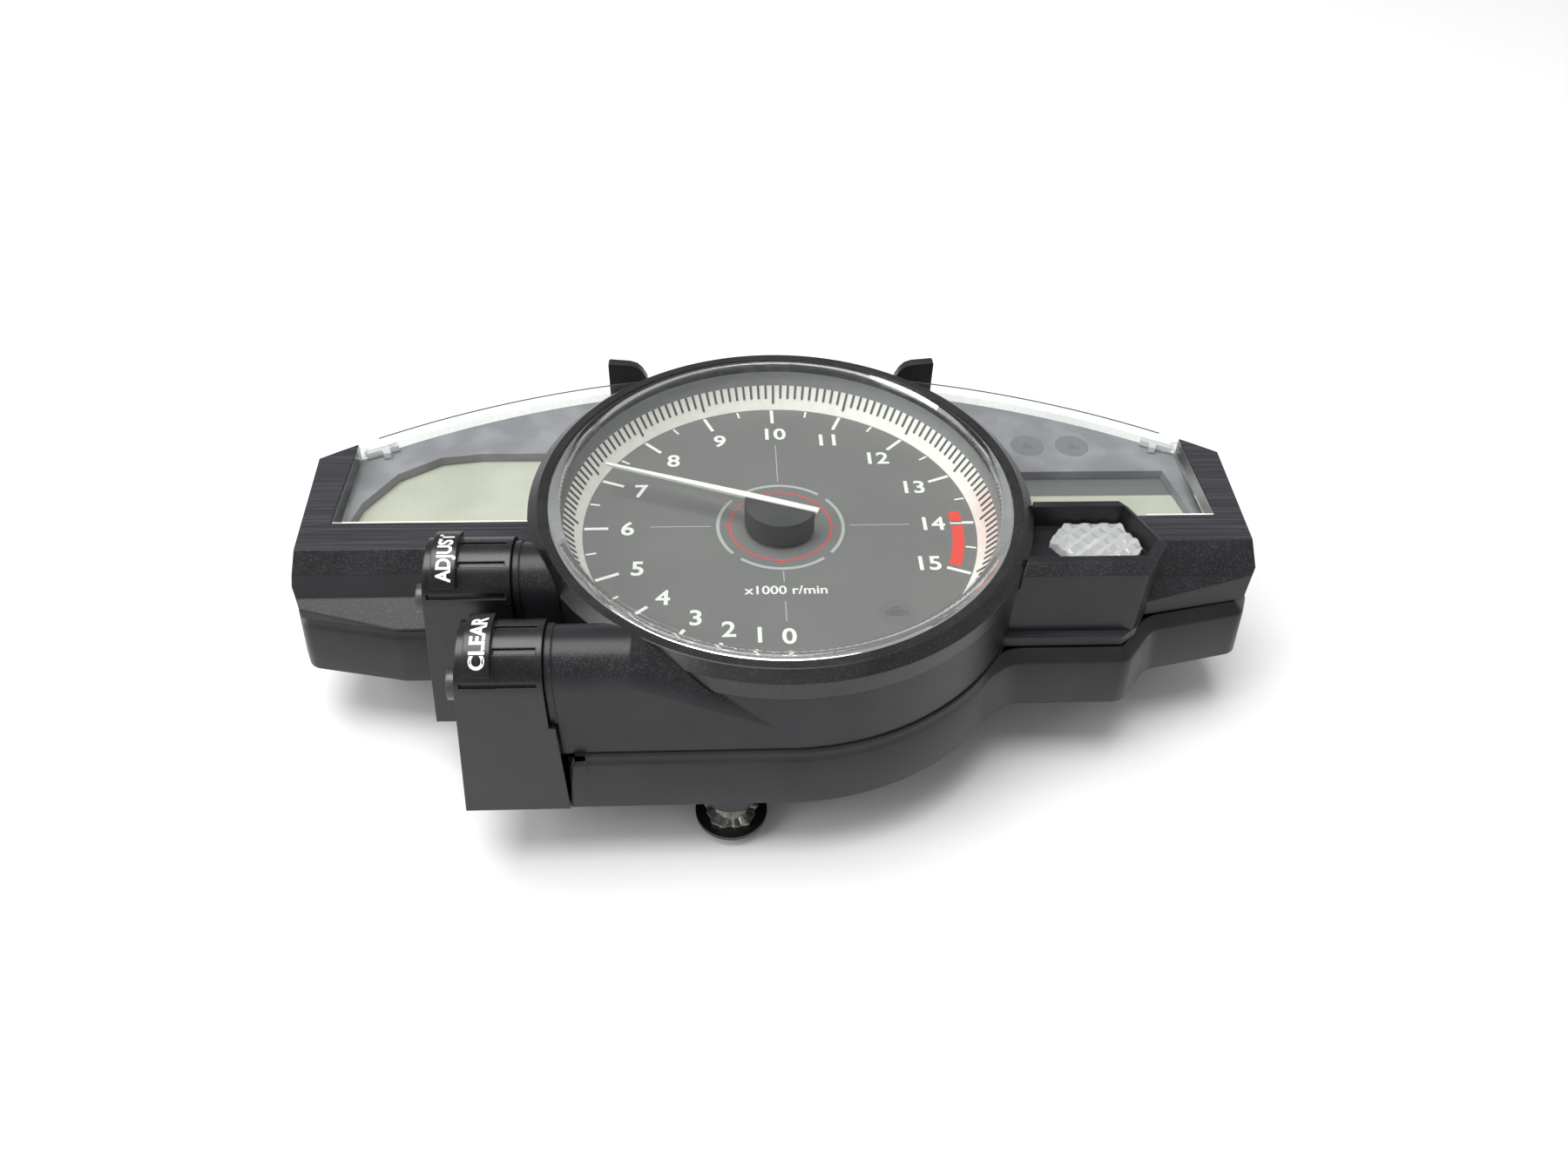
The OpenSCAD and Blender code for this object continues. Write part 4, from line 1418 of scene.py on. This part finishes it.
@dataclass
class ButtonBarrels:
    """The two button barrels with their label pads, and the buttons.

    Attributes:
        barrel_y: Each barrel's axis along Y.
        barrel_z: The barrels' axis height.
        pad_x: The middle of each label pad along X.
        pad_r: The radius of the pads' faces.
        stretch: How far the letters are spread on each.
        words_turn: The direction of the words' middle round the barrel, in degrees.
    """

    barrel_y: tuple[float, float] = (-24.6, -49.5)
    barrel_z: float = 53.3
    pad_x: tuple[float, float] = (-71.6, -61.5)
    pad_r: float = 10.3
    stretch: tuple[float, float] = (0.86, 1.0)
    words_turn: float = 106.0

    def _wrapped(self, barrel: int, height: float) -> Callable[[float, float], Vector]:
        """Returns the rule that bends lettering round a label pad.

        Args:
            barrel: Which barrel it is on.
            height: The height of its capitals.

        Returns:
            A rule from a place along and above the base line to a point.
        """

        def bend(along: float, above: float) -> Vector:
            """Returns a point on the pad; the words read from the front over the top.

            Args:
                along: The place along the base line.
                above: The place above it.

            Returns:
                The point.
            """
            swing = along * self.stretch[barrel] / self.pad_r
            turn = math.radians(self.words_turn) - swing
            radius = self.pad_r + 0.04
            return at(
                self.pad_x[barrel] - above + height / 2,
                self.barrel_y[barrel] + radius * math.cos(turn),
                self.barrel_z + radius * math.sin(turn),
            )

        return bend

    def build(self) -> None:
        """Dresses the barrels and prints their labels."""
        barrel = Moulded("barrel_plastic", shade(14, 14, 16), 0.28, 0.15, 0.008, 0.45, 0.04)
        dress(barrel, "switch_housing")
        dress(Works.CASE.value, "housing_floor")
        ink = Ink("label_white", shade(244, 244, 242))
        for number, words in enumerate(("ADJUST", "CLEAR")):
            label = Piece(f"barrel_label_{words.lower()}", ink, "case_black")
            label.text(words, 3.0, self._wrapped(number, 3.0), 0.14)
            label.build()
        smoky = Moulded("button_smoky", shade(58, 58, 61), 0.35, 0.6, 0.004, 0.9, 0, 0.35)
        dress(smoky, "button_upper", "button_lower")
        dress(Works.TIP.value, "switch_tip_upper", "switch_tip_lower")
        dress(Works.CHIPS.value, "switch_bodies")
        dress(Works.BOARD.value, "switch_boards")
        dress(Works.RUBBER.value, "button_seals")


def turned(y: float, radius: float, start: float, end: float, steps: int) -> list[Point]:
    """Returns sharp corners along an arc whose middle is at X 0.

    Args:
        y: The arc's middle along Y.
        radius: Its radius.
        start: The direction that it starts from, in degrees.
        end: The direction that it ends at, in degrees.
        steps: How many steps it has.

    Returns:
        Its corners, each with a rounding radius of 0.
    """
    turns = [math.radians(start + (end - start) * k / steps) for k in range(steps + 1)]
    return [(radius * math.cos(t), y + radius * math.sin(t), 0.0) for t in turns]


def moved_in(outline: Outline, insets: Sequence[float]) -> Outline:
    """Returns a counter-clockwise outline whose corners are moved in.

    Args:
        outline: The outline.
        insets: How far each corner's sides move in.

    Returns:
        The moved outline.
    """
    result = []
    for k, (x, y) in enumerate(outline):
        here = Vector((x, y))
        before = (here - Vector(outline[k - 1])).normalized()
        after = (Vector(outline[(k + 1) % len(outline)]) - here).normalized()
        first, second = Vector((-before.y, before.x)), Vector((-after.y, after.x))
        spot = here + insets[k] * (first + second) / (1 + first.dot(second))
        result.append((spot.x, spot.y))
    return result


def softened(corners: Sequence[Point]) -> Outline:
    """Returns an outline with its corners rounded.

    Args:
        corners: Each corner's place, and the radius that it is rounded to.

    Returns:
        The outline.
    """
    result: Outline = []
    for k, (x, y, radius) in enumerate(corners):
        here = Vector((x, y))
        if radius == 0:
            result.append((x, y))
            continue
        before = (here - Vector(corners[k - 1][:2])).normalized()
        after = (Vector(corners[(k + 1) % len(corners)][:2]) - here).normalized()
        turn = before.angle_signed(after)
        reach = radius * math.tan(abs(turn) / 2)
        start = here - before * reach
        side = 1 if before.cross(after) > 0 else -1
        centre = start + Vector((-before.y, before.x)) * radius * side
        for step in range(7):
            swing = Matrix.Rotation(side * abs(turn) * step / 6, 2)
            spot = centre + swing @ (start - centre)
            result.append((spot.x, spot.y))
    return result


@dataclass
class BaseShell:
    """The base moulding: leaning walls under a broad chamfer, with rounded corners and two ears.

    Attributes:
        rear_z: Height of its rear edge.
        ledge_z: Height of the chamfer's lower edge.
        seam_z: Height of the chamfer's upper edge.
        inner_z: Height of the rim inside, where the rear cover sits.
        lean: How far the walls lean in up to the chamfer.
        narrow: How far the chamfer's upper edge lies inside the outline.
        ledge: The same under the hood.
        wall: How far the inside lies from the outline.
        rim: The same below the rim inside.
        lobe_r: Radius of the round wall under the tachometer.
        ear: The right ear's outline along X and Z.
        ear_y: Where the ears start along Y.
        ear_t: The ears' thickness.
    """

    rear_z: float = 18.7
    ledge_z: float = 31.0
    seam_z: float = 33.4
    inner_z: float = 22.7
    lean: float = 1.1
    narrow: float = 2.0
    ledge: float = 3.9
    wall: float = 4.2
    rim: float = 2.5
    lobe_r: float = 59.8
    ear: Corners = (
        (43.2, 27.0),
        (43.2, 53.0),
        (42.8, 53.4),
        (37.4, 52.9),
        (35.6, 52.2),
        (34.3, 50.8),
        (33.2, 48.6),
        (33.0, 46.5),
        (33.0, 27.0),
    )
    ear_y: float = 56.9
    ear_t: float = 2.4

    def _plan(self) -> Outline:
        """Returns the outline at the rear edge."""
        corners = turned(-133.8, 193.8, 54.6, 125.4, 48)
        corners += [(-114.0, -11.0, 4.0), (-111.0, -17.8, 4.0), (-88.0, -22.6, 8.0)]
        corners += turned(0, self.lobe_r, 202.3, 218.0, 4)
        corners += [(-46.9, -59.7, 0.5)]
        corners += turned(0, self.lobe_r, 266.8, 322.5, 24)
        corners += [(52.4, -32.8, 7.0), (79.6, -32.8, 5.5), (87.6, -22.9, 5.5)]
        corners += [(111.0, -17.8, 4.0), (114.0, -11.0, 4.0)]
        return softened(corners)

    def _ledges(self, plan: Outline) -> list[float]:
        """Returns how wide the chamfer is at each corner: broad right of the tachometer.

        Args:
            plan: The outline.

        Returns:
            The chamfer's width at each of its corners.
        """
        widths = []
        for x, y in plan:
            broad = min(max((x - 44) / 8, 0), 1) * min(max((-y - 8) / 8, 0), 1)
            widths.append(self.narrow + (self.ledge - self.narrow) * broad)
        return widths

    def _walls(self, shell: Piece) -> None:
        """Adds the walls, which run all round and are closed in section.

        Args:
            shell: The mesh that they join.
        """
        plan = self._plan()
        count = len(plan)
        levels = [
            (self.rear_z, [0.0] * count),
            (self.ledge_z, [self.lean] * count),
            (self.ledge_z + 0.45, [self.lean + 0.35] * count),
            (self.seam_z, self._ledges(plan)),
            (self.seam_z, [self.wall] * count),
            (self.inner_z, [self.wall] * count),
            (self.inner_z, [self.rim] * count),
            (self.rear_z, [self.rim] * count),
        ]
        points = [at(x, y, z) for z, insets in levels for x, y in moved_in(plan, insets)]
        faces = []
        for level in range(len(levels)):
            low, high = level * count, (level + 1) % len(levels) * count
            for k in range(count):
                n = (k + 1) % count
                faces.append((low + k, low + n, high + n, high + k))
        shell.add(points, faces)

    def build(self) -> None:
        """Makes the moulding."""
        shell = Piece("base_shell", Works.CASE.value, "case_black")
        self._walls(shell)
        for side in (1, -1):
            ring = [at(side * x, self.ear_y, z) for x, z in self.ear]
            rise = Vector((0, self.ear_t * MM, 0))
            shell.prism(ring if side > 0 else ring[::-1], rise)
        made = shell.build(smooth=True)
        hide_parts("base_case")


@dataclass
class FoilNut:
    """Bright crumpled push nut on the mounting washer.

    Attributes:
        middle: The middle of its foot.
        inner_r: The radius of its hole.
        outer_r: Its mean outer radius.
        edge_h: Its height at the outer edge.
        hole_h: Its height round the hole.
        steps: How many steps it is turned in.
    """

    middle: Point = (-12.5, -50.2, 4.1)
    inner_r: float = 3.95
    outer_r: float = 5.9
    edge_h: float = 0.5
    hole_h: float = 1.1
    steps: int = 48

    def build(self) -> None:
        """Makes the nut."""
        nut = Piece("push_nut", Works.STEEL.value, "steel")
        rings = ((self.inner_r, 0.0), (self.outer_r, 0.0))
        rings += ((self.outer_r, self.edge_h), (self.inner_r, self.hole_h))
        x, y, z = self.middle
        points, faces = [], []
        for k in range(self.steps):
            turn = math.tau * k / self.steps
            crumple = math.sin(5 * turn) * 0.35 + math.sin(13 * turn + 1) * 0.25
            for radius, rise in rings:
                reach = radius + (crumple if radius > self.inner_r else 0)
                lift = rise * (1 + crumple * 0.7)
                points.append(at(x + reach * math.cos(turn), y + reach * math.sin(turn), z + lift))
            here, there = 4 * k, 4 * ((k + 1) % self.steps)
            for i in range(4):
                j = (i + 1) % 4
                faces.append((here + i, there + i, there + j, here + j))
        nut.add(points, faces)
        nut.build()


@dataclass
class CaseShell:
    """The case, the bezel and everything on the rear."""

    def build(self) -> None:
        """Dresses the outer parts."""
        dress(CoverPlastic(), "front_cover")
        dress(Works.CASE.value, "base_case", "rear_cover")
        bezel = Moulded("bezel_paint", shade(22, 22, 24), 0.3, 0.2, 0.006, 0.4, 0.05)
        dress(bezel, "bezel_ring")
        dress(Works.RUBBER.value, "front_gasket", "rear_gasket", "vent_plug")
        dress(Works.PLUG_SEAL.value, "connector_seal")
        dress(Works.STEEL.value, "rear_screws", "mount_screw")
        dress(Works.STEEL.value, "mount_collar", "board_screws")
        washer = Moulded("washer_paint", shade(16, 16, 17), 0.3, 0.5, 0.01, 0.2, 0, 0.3)
        dress(washer, "mount_washer")


@dataclass
class Pointer:
    """The pointer and its cap."""

    def build(self) -> None:
        """Dresses the pointer."""
        dress(BladeFinish(), "pointer_blade")
        cap = Moulded("cap_plastic", shade(54, 54, 57), 0.48, 0.25, 0.006, 0.35)
        dress(cap, "pointer_cap")


@dataclass
class InnerWorks:
    """The board, the lights and the motor, which the case hides."""

    def build(self) -> None:
        """Dresses the inner parts."""
        dress(Works.BOARD.value, "circuit_board")
        dress(Works.WHITE.value, "light_box")
        dress(Works.SILICONE.value, "contact_strips")
        dress(Works.LED.value, "backlight_leds", "warning_leds")
        dress(Works.CHIPS.value, "processor", "capacitors")
        dress(Works.CONTACTS.value, "connector_pins", "motor_terminals")
        dress(Works.PLAIN_BLACK.value, "motor_tray", "motor_lid")
        dress(Works.COIL.value, "motor_coils")
        dress(Works.PLAIN_STEEL.value, "motor_cores", "output_shaft")
        dress(Works.MAGNET.value, "rotor_magnet")
        dress(Works.GEARS.value, "rotor_pinion", "middle_gear", "output_gear")


@dataclass
class Studio:
    """Floor, lights and camera.

    Attributes:
        eye: The camera's place from the dial's axis.
        turn: The camera's turn about X, Y and Z, in degrees.
        lens_mm: Its focal length.
        frame_mm: The width of its frame.
        sky: The strength of the light from all round.
        floor: Half of the floor's width, in metres.
    """

    eye: Point = (-13.9, -218.55, 236.7)
    turn: Point = (46.04, -1.46, -2.58)
    lens_mm: float = 28.21
    frame_mm: float = 36.0
    sky: float = 0.42
    floor: float = 6.0

    def _lamp(self, name: str, place: Point, width: float, watts: float) -> None:
        """Adds a square soft light that points at the cluster.

        Args:
            name: Its name.
            place: Where it hangs, in metres.
            width: Its width in metres.
            watts: Its power.
        """
        light = bpy.data.lights.new(name, "AREA")
        light.size = width
        light.energy = watts
        lamp = bpy.data.objects.new(name, light)
        lamp.location = place
        lamp.rotation_euler = Vector(place).to_track_quat("Z", "Y").to_euler()
        bpy.context.scene.collection.objects.link(lamp)

    def build(self) -> None:
        """Sets the floor, the lights and the camera."""
        scene = bpy.context.scene
        mesh = bpy.data.meshes.new("floor")
        signs = ((-1, -1), (1, -1), (1, 1), (-1, 1))
        corners = [(x * self.floor, y * self.floor, 0) for x, y in signs]
        mesh.from_pydata(corners, [], [(0, 1, 2, 3)])
        mesh.materials.append(FloorPaper().material())
        floor = bpy.data.objects.new("floor", mesh)
        scene.collection.objects.link(floor)
        world = bpy.data.worlds.new("studio_sky")
        world.use_nodes = True
        back = world.node_tree.nodes["Background"]
        back.inputs["Color"].default_value = (0.98, 0.99, 1.0, 1.0)
        back.inputs["Strength"].default_value = self.sky
        scene.world = world
        self._lamp("top_light", (-0.25, 0.05, 1.5), 1.1, 24.0)
        self._lamp("left_light", (-1.3, -0.5, 1.0), 0.9, 12.0)
        camera = bpy.data.cameras.new("camera")
        camera.lens = self.lens_mm
        camera.sensor_width = self.frame_mm
        camera.clip_start = 0.01
        eye = bpy.data.objects.new("camera", camera)
        eye.location = at(*self.eye)
        eye.rotation_euler = Euler([math.radians(a) for a in self.turn])
        scene.collection.objects.link(eye)
        scene.camera = eye
        scene.view_settings.view_transform = "Standard"


def main() -> None:
    """Builds each sub-assembly in order."""
    logging.basicConfig(level=logging.INFO, format="%(name)s: %(message)s")
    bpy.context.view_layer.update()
    Studio().build()
    for assembly in (
        CaseShell(),
        BaseShell(),
        FoilNut(),
        TachDial(),
        TickRing(),
        TachLens(),
        DisplayWings(),
        ShiftLight(),
        ButtonBarrels(),
        Pointer(),
        InnerWorks(),
    ):
        assembly.build()


if __name__ == "__main__":
    main()
